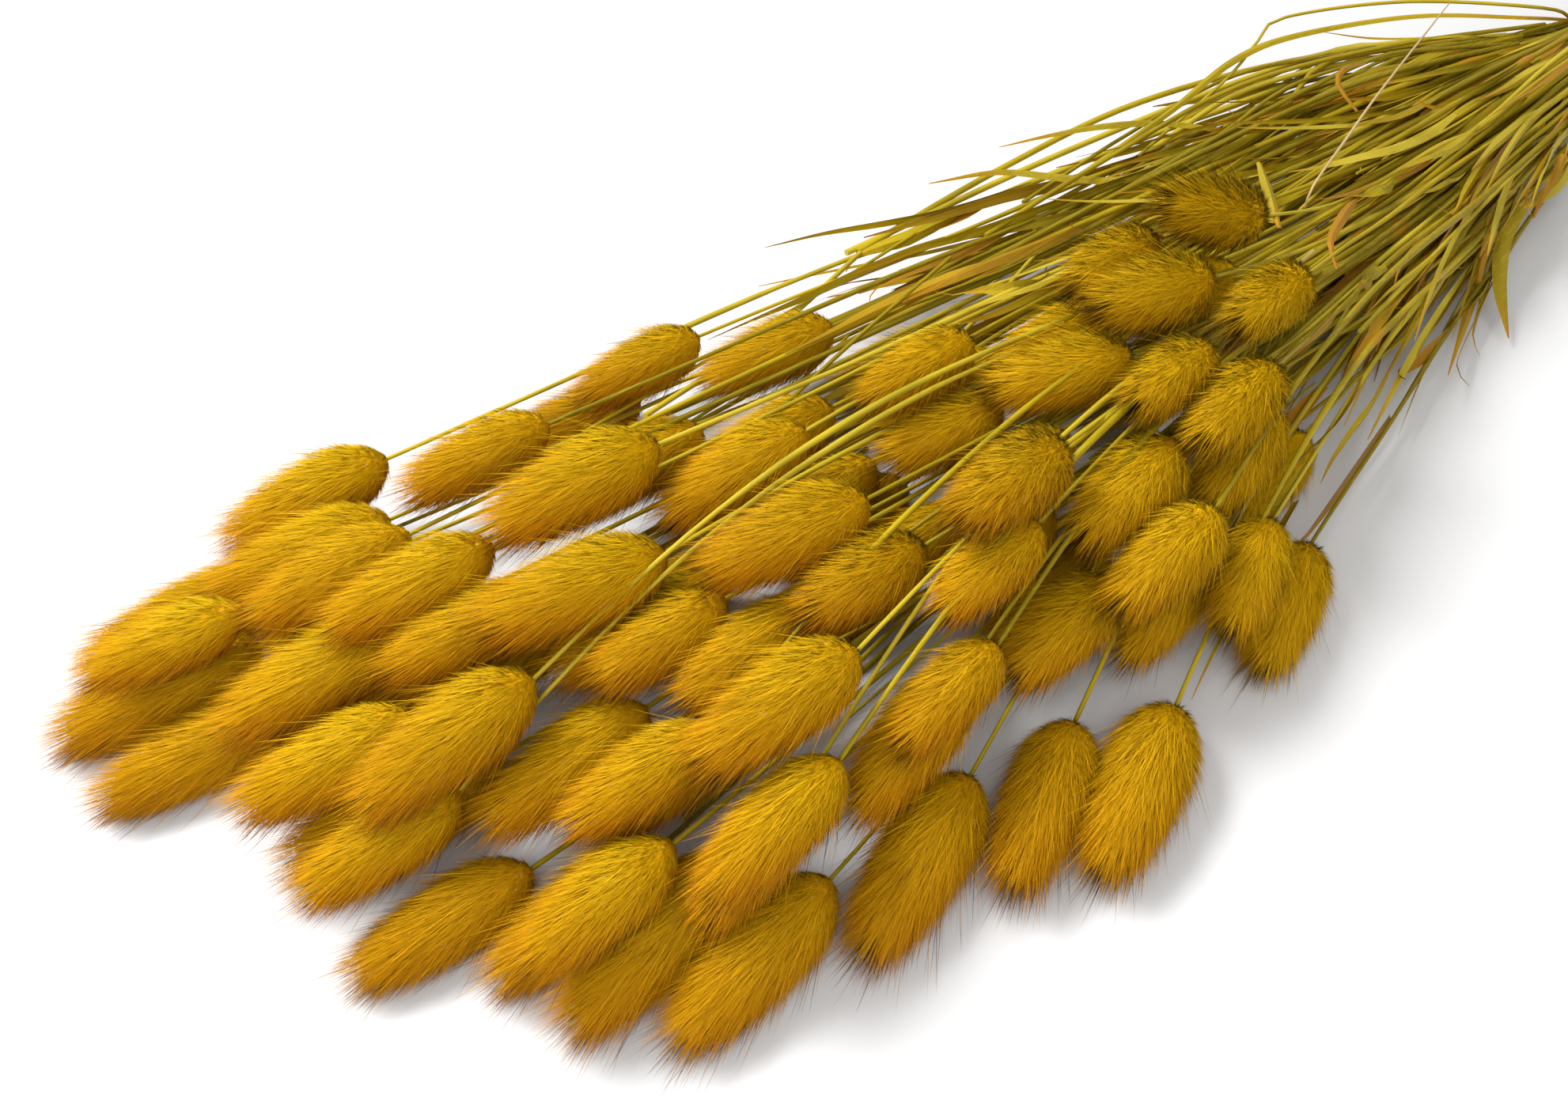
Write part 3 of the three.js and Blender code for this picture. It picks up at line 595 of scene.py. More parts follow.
def mixed(tree, factor, first, second, blend="MIX"):
    inputs = {"Factor": factor, "A": first, "B": second}
    node = addNode(tree, "ShaderNodeMix", None, data_type="RGBA", blend_type=blend)
    for name, value in inputs.items():
        socket = openSocket(node.inputs, name)
        if isinstance(value, bpy.types.NodeSocket):
            tree.links.new(value, socket)
        else:
            socket.default_value = value if name == "Factor" else (*value, 1)
    return openSocket(node.outputs, "Result")


def placeGroup(tree, group, inputs):
    node = addNode(tree, "ShaderNodeGroup", None, node_tree=group)
    for name, value in inputs.items():
        if isinstance(value, bpy.types.NodeSocket):
            tree.links.new(value, node.inputs[name])
        else:
            node.inputs[name].default_value = value
    return node.outputs


def layered(tree, colour, sources, layers, colours):
    # colours laid over one another, each with (source, from, to, share at from, share at to, colour)
    for source, low, high, shareLow, shareHigh, name in layers:
        mask = ranged(tree, sources[source], low, high, shareLow, shareHigh)
        colour = mixed(tree, mask, colour, colours[name])
    return colour


furFinish = {
    "alongHead": [(0.0, 0.92, 0.54, 0.001), (0.35, 0.92, 0.48, 0.001), (0.7, 0.92, 0.40, 0.001),
                  (1.0, 0.92, 0.33, 0.001)],
    # painted light and shade: the first two colours below go on fur that faces up (painted light) and on fur
    # that faces down (painted shade)
    "paintedTopLight": (0.84, 0.60, 0.002), "paintedUnderShade": (0.70, 0.20, 0.0005), "paintedRootShade": (0.56, 0.15, 0.0005),
    # the last colour on the next line is painted light for the heads nearest the band
    "hairTip": (0.88, 0.40, 0.008), "dull": (0.64, 0.26, 0.001), "freshRubberAndNearBandLight": (1.0, 0.59, 0.004),
    # the two layers by facing paint light where the fur faces up and shade where it faces down
    "layers": [("facing", 0.2, 0.95, 0.0, 0.6, "paintedTopLight"), ("facing", -0.5, 0.35, 0.85, 0.0, "paintedUnderShade"),
               # the first layer by rise is painted shade deep in the coat, darkest at the hair bases
               ("rise", 0.0, 0.55, 0.6, 0.0, "paintedRootShade"), ("rise", 0.5, 1.0, 0.0, 0.35, "hairTip")],
    "toneSpread": 0.12, "dullShare": 0.50, "nearBandLightShare": 0.75, "softness": 0.82,
    "speck": (0.85, 0.70, 0.35), "speckScale": 260.0, "speckSize": 0.07, "speckShare": 0.5,
    "shader": {"Roughness": 0.7, "Specular IOR Level": 0.08, "Sheen Weight": 0.1, "Sheen Roughness": 0.5,
               "Sheen Tint": (1.0, 0.6, 0.05, 1)},
}


def furMaterial():
    material, tree, shader = newMaterial("goldenFur", furFinish["shader"])
    names = ("along", "rise", "tone", "ageAndLowTierShade")
    along, rise, tone, ageAndLowTierShade = (attribute(tree, name).outputs["Fac"] for name in names)
    soft = attribute(tree, "soft").outputs["Vector"]
    place = addNode(tree, "ShaderNodeTexCoord").outputs["Object"]
    astray = ranged(tree, tone, 0, 1, -furFinish["toneSpread"], furFinish["toneSpread"])
    body = ramp(tree, math2(tree, "ADD", along, astray), furFinish["alongHead"])
    # how far the smooth fur normal faces up, which sets the painted light on top and the painted shade
    # underneath
    facing = addNode(tree, "ShaderNodeSeparateXYZ", {0: soft}).outputs["Z"]
    colour = layered(tree, body, {"facing": facing, "rise": rise}, furFinish["layers"], furFinish)
    # dull by age: random from head to head, and painted shade on the lowest tier
    colour = mixed(tree, math2(tree, "MULTIPLY", ageAndLowTierShade, furFinish["dullShare"]), colour, furFinish["dull"])
    # painted light: the heads nearest the band are lightened
    freshRubberAndNearBandLight = math2(tree, "MULTIPLY", attribute(tree, "freshRubberAndNearBandLight").outputs["Fac"], furFinish["nearBandLightShare"])
    colour = mixed(tree, freshRubberAndNearBandLight, colour, furFinish["freshRubberAndNearBandLight"])
    spots = placeGroup(tree, flecks, {"Vector": place, "Scale": furFinish["speckScale"],
                                      "Share": furFinish["speckSize"]})["Fleck"]
    colour = mixed(tree, math2(tree, "MULTIPLY", spots, furFinish["speckShare"]), colour, furFinish["speck"])
    tree.links.new(colour, shader.inputs["Base Color"])
    own = addNode(tree, "ShaderNodeNewGeometry").outputs["Normal"]
    blend = vector2(tree, "ADD", scaled(tree, own, 1 - furFinish["softness"]),
                    scaled(tree, soft, furFinish["softness"]))
    tree.links.new(vector2(tree, "NORMALIZE", blend), shader.inputs["Normal"])
    return material


stemFinish = {
    "young": (0.45, 0.33, 0.006), "old": (0.36, 0.25, 0.005), "straw": (0.54, 0.42, 0.030),
    "olive": (0.14, 0.105, 0.003), "node": (0.40, 0.15, 0.006), "pale": (0.48, 0.34, 0.19),
    "brown": (0.36, 0.15, 0.008),
    "layers": [("along", 0.1, 0.9, 0.0, 1.0, "young"), ("tone", 0.45, 1.0, 0.0, 0.9, "straw"),
               ("tone", 0.45, 0.0, 0.0, 0.8, "olive"), ("patch", 0.45, 0.7, 0.0, 0.5, "olive"),
               ("fibre", 0.5, 0.75, 0.0, 0.4, "straw")],
    "leafLayer": ("tone", 0.12, 0.30, 0.75, 0.0, "brown"),
    # roughness goes by the grain: from, to, and the roughness at each
    "grain": {"Across": 1500.0, "Along": 30.0, "Patches": 30.0}, "strawBump": 0.35, "leafBump": 0.5,
    "bumpDistance": 0.0004, "roughness": (0.3, 0.7, 0.34, 0.6),
    "shader": {"Roughness": 0.42, "Specular IOR Level": 0.15},
}


def stemMaterial(name, leafy):
    material, tree, shader = newMaterial(name, stemFinish["shader"])
    place = addNode(tree, "ShaderNodeTexCoord").outputs["Object"]
    grain = placeGroup(tree, streaks, {"Vector": place, **stemFinish["grain"]})
    sources = {"patch": grain["Patch"], "fibre": grain["Fibre"]}
    for label in ("along", "tone"):
        sources[label] = attribute(tree, label).outputs["Fac"]
    layers = stemFinish["layers"] + ([stemFinish["leafLayer"]] if leafy else [])
    colour = layered(tree, stemFinish["old"], sources, layers, stemFinish)
    colour = mixed(tree, attribute(tree, "mark").outputs["Fac"], colour, stemFinish["node"])
    colour = mixed(tree, attribute(tree, "bleach").outputs["Fac"], colour, stemFinish["pale"])
    tree.links.new(colour, shader.inputs["Base Color"])
    strength = stemFinish["leafBump"] if leafy else stemFinish["strawBump"]
    bump = addNode(tree, "ShaderNodeBump", {"Strength": strength, "Distance": stemFinish["bumpDistance"],
                                            "Height": grain["Fibre"]})
    tree.links.new(bump.outputs[0], shader.inputs["Normal"])
    tree.links.new(ranged(tree, grain["Patch"], *stemFinish["roughness"]), shader.inputs["Roughness"])
    return material


rubberFinish = {
    "freshRubberAndNearBandLight": (0.42, 0.25, 0.11), "dusty": (0.50, 0.36, 0.20), "dust": (0.35, 0.65, 0.0, 1.0),
    "grain": {"Across": 300.0, "Along": 2500.0, "Patches": 90.0}, "bump": 0.25, "bumpDistance": 0.0003,
    "roughness": (0.3, 0.7, 0.42, 0.62),
    "shader": {"Roughness": 0.5, "Specular IOR Level": 0.4, "Subsurface Weight": 0.1,
               "Subsurface Radius": (0.004, 0.002, 0.001), "Subsurface Scale": 0.5},
}


def rubberMaterial():
    material, tree, shader = newMaterial("naturalRubber", rubberFinish["shader"])
    place = addNode(tree, "ShaderNodeTexCoord").outputs["Object"]
    grain = placeGroup(tree, streaks, {"Vector": place, **rubberFinish["grain"]})
    colour = mixed(tree, ranged(tree, grain["Patch"], *rubberFinish["dust"]), rubberFinish["freshRubberAndNearBandLight"],
                   rubberFinish["dusty"])
    tree.links.new(colour, shader.inputs["Base Color"])
    bump = addNode(tree, "ShaderNodeBump", {"Strength": rubberFinish["bump"], "Height": grain["Fibre"],
                                            "Distance": rubberFinish["bumpDistance"]})
    tree.links.new(bump.outputs[0], shader.inputs["Normal"])
    tree.links.new(ranged(tree, grain["Fibre"], *rubberFinish["roughness"]), shader.inputs["Roughness"])
    return material


goldenFur = furMaterial()
dryStem = stemMaterial("dryStem", False)
dryBlade = stemMaterial("dryBlade", True)
naturalRubber = rubberMaterial()


# seed heads: a core with fur grown on it

head = {
    "grow": 1.18, "growLow": 1.32, "coreShare": 0.67, "coreLength": 0.76, "rings": 13, "sides": 14,
    "bow": 0.06, "coreStart": 0.012, "coreEnd": 0.985, "bluntEnd": 0.22, "taper": 0.45, "taperPower": 2.2,
    # the extra dullness for the lowest tier is painted shade for the heads under the pile
    "tipPower": 9, "tipSlope": 1.3, "baseSlope": 0.6, "baseFade": 9, "ageSpread": 0.5, "lowTierShade": 0.5,
    # reaches over which the painted light on the heads nearest the band fades out
    "nearBandLightReach": [290, 430],
    "skyward": (0, 0, 0.8), "awnStray": 0.2, "awnKnee": (0, 0, 0.6), "awnEnd": (0, 9.0, 1.0),
    "awnRise": (0.8, 1.1), "skinRise": 0.12, "skinTone": 0.5, "weld": 0.001, "seed": 51,
    "leanUntil": 0.85, "fullFrom": 0.02, "fullAt": 0.45,
    "hairLengths": (0.7, 1.12), "hairRadii": (0.7, 1.2), "awnLengths": (0.6, 1.2),
    "hair": {
        "Hairs": 4.45e6, "Base length": 3.4 * mm, "Full length": 9.2 * mm, "Tip length": 15.5 * mm,
        "Base lean": 0.46, "Tip lean": 0.72, "Hair radius": 0.115 * mm, "Stray": 0.16,
        "Awns": 2.9e5, "Awn length": 19.0 * mm, "Awn radius": 0.08 * mm, "Awn lean": 0.74, "Floor": 0.2 * mm,
    },
}


def coreReach(share, radius):
    # blunt at the stem, widest before the middle, still broad where the long hairs of the tip start
    narrowed = radius * np.minimum(1, (share / head["bluntEnd"])) ** 0.5
    narrowed = narrowed * (1 - head["taper"] * share ** head["taperPower"])
    return narrowed * np.sqrt(1 - share ** head["tipPower"])


def headCore(parts, name, draw):
    # a lathed core for each head of a piece, with what the fur needs to know stored on its points
    corners, faces = [], []
    fields = {"along": [], "flow": [], "soft": [], "size": [], "ageAndLowTierShade": [], "freshRubberAndNearBandLight": []}
    for plant in parts:
        base, tip = plant["points"][steps], plant["points"][steps + 1]
        way = unit(tip - base)
        side = unit(np.cross([0, 0, 1.0], way))
        rise = np.cross(way, side)
        bend = draw() * 2 * math.pi
        bow = around(draw, head["bow"]) * plant["length"]
        grow = head["growLow"] if plant["lowest"] else head["grow"]
        # dullness at random from head to head, plus painted shade on the lowest tier, which lies under the
        # others
        ageAndLowTierShade = draw() * head["ageSpread"] + (head["lowTierShade"] if plant["lowest"] else 0)
        # painted light on the heads nearest the band, fading out further from it
        freshRubberAndNearBandLight = np.interp(base[0], head["nearBandLightReach"], [1.0, 0.0])
        first = len(corners)
        rings, sides = head["rings"], head["sides"]
        for ring in range(rings + 1):
            share = head["coreStart"] + (ring / rings) * (head["coreEnd"] - head["coreStart"])
            radius = head["coreShare"] * grow * coreReach(share, plant["radius"])
            middle = base + way * plant["length"] * grow * head["coreLength"] * share
            middle = middle + (side * math.cos(bend) + rise * math.sin(bend)) * bow * share * share
            for place in range(sides):
                angle = plant["phase"] + place / sides * 2 * math.pi
                out = side * math.cos(angle) + rise * math.sin(angle)
                corners.append(middle + out * radius)
                slope = share * head["tipSlope"] - head["baseSlope"] * math.exp(-share * head["baseFade"])
                fields["along"].append(share)
                fields["flow"].append(way)
                fields["soft"].append(unit(out + way * slope))
                fields["size"].append(plant["radius"] / growth["headRadius"] * grow / head["grow"])
                fields["ageAndLowTierShade"].append(ageAndLowTierShade)
                fields["freshRubberAndNearBandLight"].append(freshRubberAndNearBandLight)
        for ring in range(rings):
            for place in range(sides):
                a = first + ring * sides + place
                b = first + ring * sides + (place + 1) % sides
                faces.append((a, b, b + sides, a + sides))
        faces.append([first + place for place in reversed(range(sides))])
        faces.append([first + rings * sides + place for place in range(sides)])
    mesh = bpy.data.meshes.new(name)
    mesh.from_pydata((np.array(corners) + shift) * mm, [], faces)
    for label, values in fields.items():
        setField(mesh, label, values, "FLOAT_VECTOR" if label in ("flow", "soft") else "FLOAT")
    return newObject(name, mesh)


def furTree():
    sizes = {**head["hair"], "Seed": 1, "Material": goldenFur}
    tree, given, result = newTree("growFur", sizes)
    core = given["Geometry"]
    along, size = readField(tree, "along"), readField(tree, "size")
    flow = readField(tree, "flow", "FLOAT_VECTOR")
    soft = readField(tree, "soft", "FLOAT_VECTOR")

    def roots(density, seedStep):
        seed = math2(tree, "ADD", given["Seed"], seedStep)
        inputs = {"Mesh": core, "Density": density, "Seed": seed}
        return addNode(tree, "GeometryNodeDistributePointsOnFaces", inputs).outputs

    def aimed(lean, stray, seedStep):
        # out of the skin at the base of the head, more along it at the tip, each hair a little astray
        outward = scaled(tree, soft, math2(tree, "SUBTRACT", 1.0, lean))
        straight = vector2(tree, "ADD", outward, scaled(tree, flow, lean))
        loose = randomField(tree, (-1, -1, -1), (1, 1, 1), seedStep, "FLOAT_VECTOR")
        way = vector2(tree, "ADD", straight, scaled(tree, loose, stray))
        turned = addNode(tree, "FunctionNodeAlignRotationToVector", {"Vector": way}, axis="Z").outputs[0]
        skyward = vector2(tree, "ADD", soft, head["skyward"])
        faced = addNode(tree, "FunctionNodeAlignRotationToVector", {"Rotation": turned, "Vector": skyward},
                        axis="Y", pivot_axis="Z").outputs[0]
        spin = addNode(tree, "FunctionNodeAxisAngleToRotation",
                       {"Axis": (0, 0, 1), "Angle": randomField(tree, -1.0, 1.0, seedStep + 1)}).outputs[0]
        inputs = {"Rotation": faced, "Rotate By": spin}
        return addNode(tree, "FunctionNodeRotateRotation", inputs, rotation_space="LOCAL").outputs[0]

    def planted(points, shape, rotation, radius, length):
        scale = addNode(tree, "ShaderNodeCombineXYZ", {"X": radius, "Y": radius, "Z": length}).outputs[0]
        inputs = {"Points": points, "Instance": shape, "Rotation": rotation, "Scale": scale}
        made = addNode(tree, "GeometryNodeInstanceOnPoints", inputs).outputs[0]
        return storeField(tree, made, "tone", randomField(tree, 0.0, 1.0, 31), domain="INSTANCE")

    height = addNode(tree, "ShaderNodeSeparateXYZ",
                     {0: addNode(tree, "GeometryNodeInputPosition").outputs[0]}).outputs["Z"]

    def card(line, seam):
        # a flat hair that narrows to its tip
        taper = math2(tree, "SUBTRACT", 1.0, addNode(tree, "GeometryNodeSplineParameter").outputs[0])
        across = addNode(tree, "GeometryNodeCurvePrimitiveLine", {"Start": (1, 0, 0), "End": (-1, 0, 0)})
        inputs = {"Curve": line, "Profile Curve": across.outputs[0], "Scale": taper}
        made = addNode(tree, "GeometryNodeCurveToMesh", inputs).outputs[0]
        inputs = {"Geometry": made, "Distance": head["weld"]}
        made = addNode(tree, "GeometryNodeMergeByDistance", inputs).outputs[0]
        return storeField(tree, made, "rise", seam)

    straight = addNode(tree, "GeometryNodeCurvePrimitiveLine", {"Start": (0, 0, 0), "End": (0, 0, 1)})
    needle = card(straight.outputs[0], height)
    coat = roots(given["Hairs"], 1)
    fullFrom, fullAt = head["fullFrom"], head["fullAt"]
    lean = ranged(tree, along, 0.0, head["leanUntil"], given["Base lean"], given["Tip lean"])
    early = ranged(tree, along, fullFrom, fullAt, given["Base length"], given["Full length"], True)
    beyond = math2(tree, "SUBTRACT", given["Tip length"], given["Full length"])
    length = math2(tree, "ADD", early, ranged(tree, along, fullAt, 1.0, 0.0, beyond))
    length = math2(tree, "MULTIPLY", length, size)
    length = math2(tree, "MULTIPLY", length, randomField(tree, *head["hairLengths"], 5))
    radius = math2(tree, "MULTIPLY", given["Hair radius"], randomField(tree, *head["hairRadii"], 6))
    hairs = planted(coat["Points"], needle, aimed(lean, given["Stray"], 11), radius, length)

    inputs = {"Resolution": 2, "Start": (0, 0, 0), "Middle": head["awnKnee"], "End": head["awnEnd"]}
    arched = addNode(tree, "GeometryNodeCurveQuadraticBezier", inputs).outputs[0]
    bristle = card(arched, ranged(tree, height, 0.0, 1.0, *head["awnRise"]))
    sparse = roots(given["Awns"], 2)
    awnLength = math2(tree, "MULTIPLY", given["Awn length"], size)
    awnLength = math2(tree, "MULTIPLY", awnLength, randomField(tree, *head["awnLengths"], 7))
    awnAim = aimed(given["Awn lean"], head["awnStray"], 21)
    awns = planted(sparse["Points"], bristle, awnAim, given["Awn radius"], awnLength)

    # the skin takes a low rise, so much of the painted shade of the hair bases falls on the core
    skin = storeField(tree, core, "rise", head["skinRise"])
    skin = storeField(tree, skin, "tone", head["skinTone"])
    joined = addNode(tree, "GeometryNodeJoinGeometry")
    for part in (skin, hairs, awns):
        tree.links.new(part, joined.inputs[0])
    real = addNode(tree, "GeometryNodeRealizeInstances", {"Geometry": joined.outputs[0]}).outputs[0]
    position = addNode(tree, "GeometryNodeInputPosition").outputs[0]
    at = addNode(tree, "ShaderNodeSeparateXYZ", {0: position}).outputs
    lifted = math2(tree, "MAXIMUM", at["Z"], given["Floor"])
    kept = addNode(tree, "ShaderNodeCombineXYZ", {"X": at["X"], "Y": at["Y"], "Z": lifted}).outputs[0]
    real = addNode(tree, "GeometryNodeSetPosition", {"Geometry": real, "Position": kept}).outputs[0]
    real = addNode(tree, "GeometryNodeSetShadeSmooth", {"Geometry": real, "Shade Smooth": True}).outputs[0]
    real = addNode(tree, "GeometryNodeSetMaterial", {"Geometry": real, "Material": given["Material"]})
    tree.links.new(real.outputs[0], result["Geometry"])
    return tree

def dressHeads():
    tree = furTree()
    draw = seededDraw(head["seed"])
    singles = pairs = 0
    for index, plant in enumerate(plants):
        other = partner[index]
        if 0 <= other < index:
            continue
        if other < 0:
            singles += 1
            node, name, parts = f"head_{singles:02d}", f"plume_{singles:02d}", [plant]
        else:
            pairs += 1
            node, name, parts = f"head_pair_{pairs:02d}", f"plumePair_{pairs:02d}", [plant, plants[other]]
        core = headCore(parts, name + "_core", draw)
        sizes = {**head["hair"], "Seed": index + 1, "Material": goldenFur}
        piece = growMesh(core, tree, sizes, name)
        dropSource(core)
        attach(piece, "root")
        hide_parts(node)


dressHeads()
plumes = [thing for thing in bpy.data.objects if thing.name.startswith("plume")]
print("fur grown:", sum(len(plume.data.polygons) for plume in plumes), "faces")


# stems: one run of straw for each plant, thicker at its joints and where a sheath wraps it

stalk = {
    "radiusAtBand": 1.35, "radiusAtHead": 0.62, "radiusSpread": 0.12, "spacing": 9.0, "wobble": 0.7,
    "wobbleUp": 0.6, "waves": 2.5, "firstJoint": 130, "firstJointSpread": 90, "lastJoint": 60,
    "jointSpacing": 120, "jointSpread": 40, "jointSwell": 0.5, "jointLength": 2.2, "jointMark": 0.8,
    "kink": 1.3, "kinkLength": 45, "sheathLength": 75, "sheathSwell": 0.32, "sheathPower": 0.35,
    "intoHead": 7, "offFloor": 0.15, "archPower": 2.5, "profileSides": 7, "fold": 0.35, "thickness": 0.12,
    "seed": 77,
    # how high some stems bow over the heads: {number of the plant: millimetres}
    "arched": {9: 34, 10: 24, 12: 30, 19: 46, 26: 40, 31: 30, 36: 24, 44: 32, 48: 30, 49: 32, 50: 14, 52: 20,
               56: 26, 65: 18},
}


def smoothPath(points, spacing):
    # a smooth run through given points, with an even step; returns places and lengths along
    points = np.asarray(points)
    ends = np.vstack([2 * points[0] - points[1], points, 2 * points[-1] - points[-2]])
    run = []
    for index in range(1, len(ends) - 2):
        before, here, after, beyond = ends[index - 1:index + 3]
        count = max(2, int(round(np.linalg.norm(after - here) / spacing)))
        t = (np.arange(count) / count)[:, None]
        run.append(0.5 * (2 * here + (after - before) * t
                          + (2 * before - 5 * here + 4 * after - beyond) * t ** 2
                          + (3 * here - before - 3 * after + beyond) * t ** 3))
    run.append(points[-1:])
    run = np.vstack(run)
    gone = np.concatenate([[0], np.cumsum(np.linalg.norm(np.diff(run, axis=0), axis=1))])
    return run, gone


def pathMesh(name, runs):
    # chains of edges; each run is (places, {field: values})
    corners, edges, fields = [], [], {}
    for places, values in runs:
        first = len(corners)
        corners.extend(places)
        edges.extend((first + step, first + step + 1) for step in range(len(places) - 1))
        for label, numbers in values.items():
            fields.setdefault(label, []).extend(np.broadcast_to(numbers, len(places)))
    mesh = bpy.data.meshes.new(name)
    mesh.from_pydata((np.array(corners) + shift) * mm, edges, [])
    for label, values in fields.items():
        setField(mesh, label, values)
    return newObject(name, mesh)


def strawFields(run, radius, tone, mark=0.0):
    return {"radius": radius, "along": np.clip(run[:, 0] / growth["farthestReach"], 0, 1), "tone": tone,
            "mark": mark, "turn": 0.0, "wide": 0.0, "bleach": 0.0}


def stalkRun(plant, arch, draw):
    points = plant["points"]
    seatY, seatZ = plant["seat"]
    flare = 1 + growth["cutFlare"]
    aim = unit(points[steps + 1] - points[steps])
    cutEnd = [-plant["cut"], seatY * flare, bandHeight + (seatZ - bandHeight) * flare]
    path = np.vstack([[cutEnd, [-waistHalf, seatY, seatZ]], points[:steps + 1],
                      points[steps] + aim * stalk["intoHead"]])
    run, gone = smoothPath(path, stalk["spacing"])
    total = gone[-1]
    share = gone / total
    free = np.sin(np.pi * np.clip((run[:, 0] - waistHalf) / (points[steps][0] - waistHalf), 0, 1))
    waveY, waveZ = around(draw, 1) * math.pi, around(draw, 1) * math.pi
    turns = stalk["waves"] + around(draw, 1)
    run[:, 1] += stalk["wobble"] * free * np.sin(waveY + share * turns * 2 * math.pi)
    run[:, 2] += stalk["wobble"] * stalk["wobbleUp"] * free * np.sin(waveZ + share * turns * 2 * math.pi)
    run[:, 2] += arch * np.sin(np.pi * np.clip(run[:, 0] / points[steps][0], 0, 1) ** stalk["archPower"])
    radius = stalk["radiusAtBand"] + (stalk["radiusAtHead"] - stalk["radiusAtBand"]) * share
    radius = radius * (1 + around(draw, stalk["radiusSpread"]))
    mark = np.zeros(len(run))
    joint = total - stalk["firstJoint"] - draw() * stalk["firstJointSpread"]
    while joint > stalk["lastJoint"]:
        off = gone - joint
        sheath = np.clip(1 - np.abs(off / stalk["sheathLength"] - 0.5) * 2, 0, 1)
        sheath = sheath ** stalk["sheathPower"] * (off > 0)
        radius = radius * (1 + stalk["sheathSwell"] * sheath)
        swell = np.exp(-(off / stalk["jointLength"]) ** 2)
        radius = radius * (1 + stalk["jointSwell"] * swell)
        mark = np.maximum(mark, swell * stalk["jointMark"])
        bend = np.clip(1 - np.abs(off) / stalk["kinkLength"], 0, 1) * around(draw, stalk["kink"]) * free
        run[:, 1] += bend
        joint -= stalk["jointSpacing"] + around(draw, stalk["jointSpread"])
    run[:, 2] = np.maximum(run[:, 2], radius + stalk["offFloor"])
    return run, strawFields(run, radius * mm, draw(), mark)


ribbon = {"spacing": 6.0, "offFloor": 0.3, "deadSlope": 2.2, "deadStart": 1.5, "deadMost": 0.8}


def ribbonRun(points, out, halfWidths, twist, tone, mark=0.0):
    # a blade: its middle line, how wide it is along it, and how its flat side turns
    run, gone = smoothPath(points, ribbon["spacing"])
    share = gone / gone[-1]
    way = unit(run[1] - run[0])
    level = unit(np.cross([0, 0, 1.0], way))
    above = np.cross(way, level)
    lean = math.atan2(float(out @ level), float(out @ above))
    half = np.interp(share, np.linspace(0, 1, len(halfWidths)), halfWidths)
    run[:, 2] = np.maximum(run[:, 2], half + ribbon["offFloor"])
    dead = np.clip(share * ribbon["deadSlope"] - ribbon["deadStart"], 0, ribbon["deadMost"])
    fields = strawFields(run, half * mm, tone, np.maximum(mark, dead))
    fields.update({"turn": -lean + twist * share, "wide": 1.0})
    return run, fields


litter = {
    # in a pair, the second number is how much more than the first it can be; curl adds how far aside and up,
    # and archAim starts with how far aside
    "near": 12, "far": 330, "strawFar": 450, "nearPower": 1.25, "strawPower": 0.7, "curls": 0.25,
    "sheaths": 300, "sheathLength": 70, "sheathSpread": 45, "halfWidth": 1.9, "sheathReach": 6,
    "shape": [0.45, 0.9, 1.0, 0.95, 0.75, 0.4, 0.08], "shapeSpread": 0.12, "steps": 5, "kink": 2.2,
    "kinkWave": 5.0, "clear": 1.2, "spreadPower": 1.6, "unevenness": 0.8, "curl": (4, 5, 9, 6), "twist": 1.6,
    "markSpread": 1.3, "markFrom": 0.7, "sheathFloor": 1.5,
    "sideLeaves": 110, "sideStems": 24, "sideReach": 24, "sideRoot": 6, "sideNear": 150, "sideFar": 260,
    "sideLength": (90, 70), "sideWidth": (0.6, 0.8), "sideLeast": 3, "sideTilt": 0.5, "sideDown": -0.1,
    "sideUp": 0.4,
    "straws": 360, "strawLength": 170, "strawRadius": 0.6, "strawRadii": (0.6, 0.9), "strawLift": 3,
    "strawCross": 0.35, "strawKnee": (0.4, 0.2), "kneeAside": 4, "kneeUp": 2, "strawSpacing": 12.0,
    "strawFloor": 1.2,
    "arches": 34, "archReach": 19, "archStems": 16, "archRoot": 40, "archLength": (130, 180),
    "archAim": (-0.8, 0.2, 0.8), "archShare": (0.35, 0.65), "archKnee": (0.25, 0.4), "archClear": 1.5,
    "archRound": 0.8, "archAside": 1, "archPoints": 5, "archSpacing": 10.0, "archFloor": 1.4,
    "archRadii": (0.7, 0.5),
}


def drawn(draw, limits):
    # a number from the first limit up, by as much as the second
    return limits[0] + draw() * limits[1]


def sheathRun(draw, plant, root, length, away, spread, half):
    # a dry sheath or leaf that keeps close to a stem and leaves it a little towards its tip
    points = []
    kink = around(draw, litter["kink"])
    for step in range(litter["steps"] + 1):
        share = step / litter["steps"]
        place = stemAt(plant, min(root + length * share, plant["points"][steps][0] - 1))
        if place is None:
            return None
        off = away * (litter["clear"] + spread * share ** litter["spreadPower"])
        bent = kink * math.sin(share * litter["kinkWave"])
        points.append(place + off + np.array([0, bent, around(draw, litter["unevenness"])]))
    if draw() < litter["curls"]:
        # the dead tip curls aside
        least, more, aside, up = litter["curl"]
        points[-1] = points[-2] + np.array([least + draw() * more, around(draw, aside), around(draw, up)])
    points = np.array(points)
    points[:, 2] = np.maximum(points[:, 2], litter["sheathFloor"])
    widths = [half * (part + around(draw, litter["shapeSpread"]) * part) for part in litter["shape"]]
    twist, tone = around(draw, litter["twist"]), draw()
    return ribbonRun(points, away, widths, twist, tone,
                     max(0.0, around(draw, litter["markSpread"]) - litter["markFrom"]))


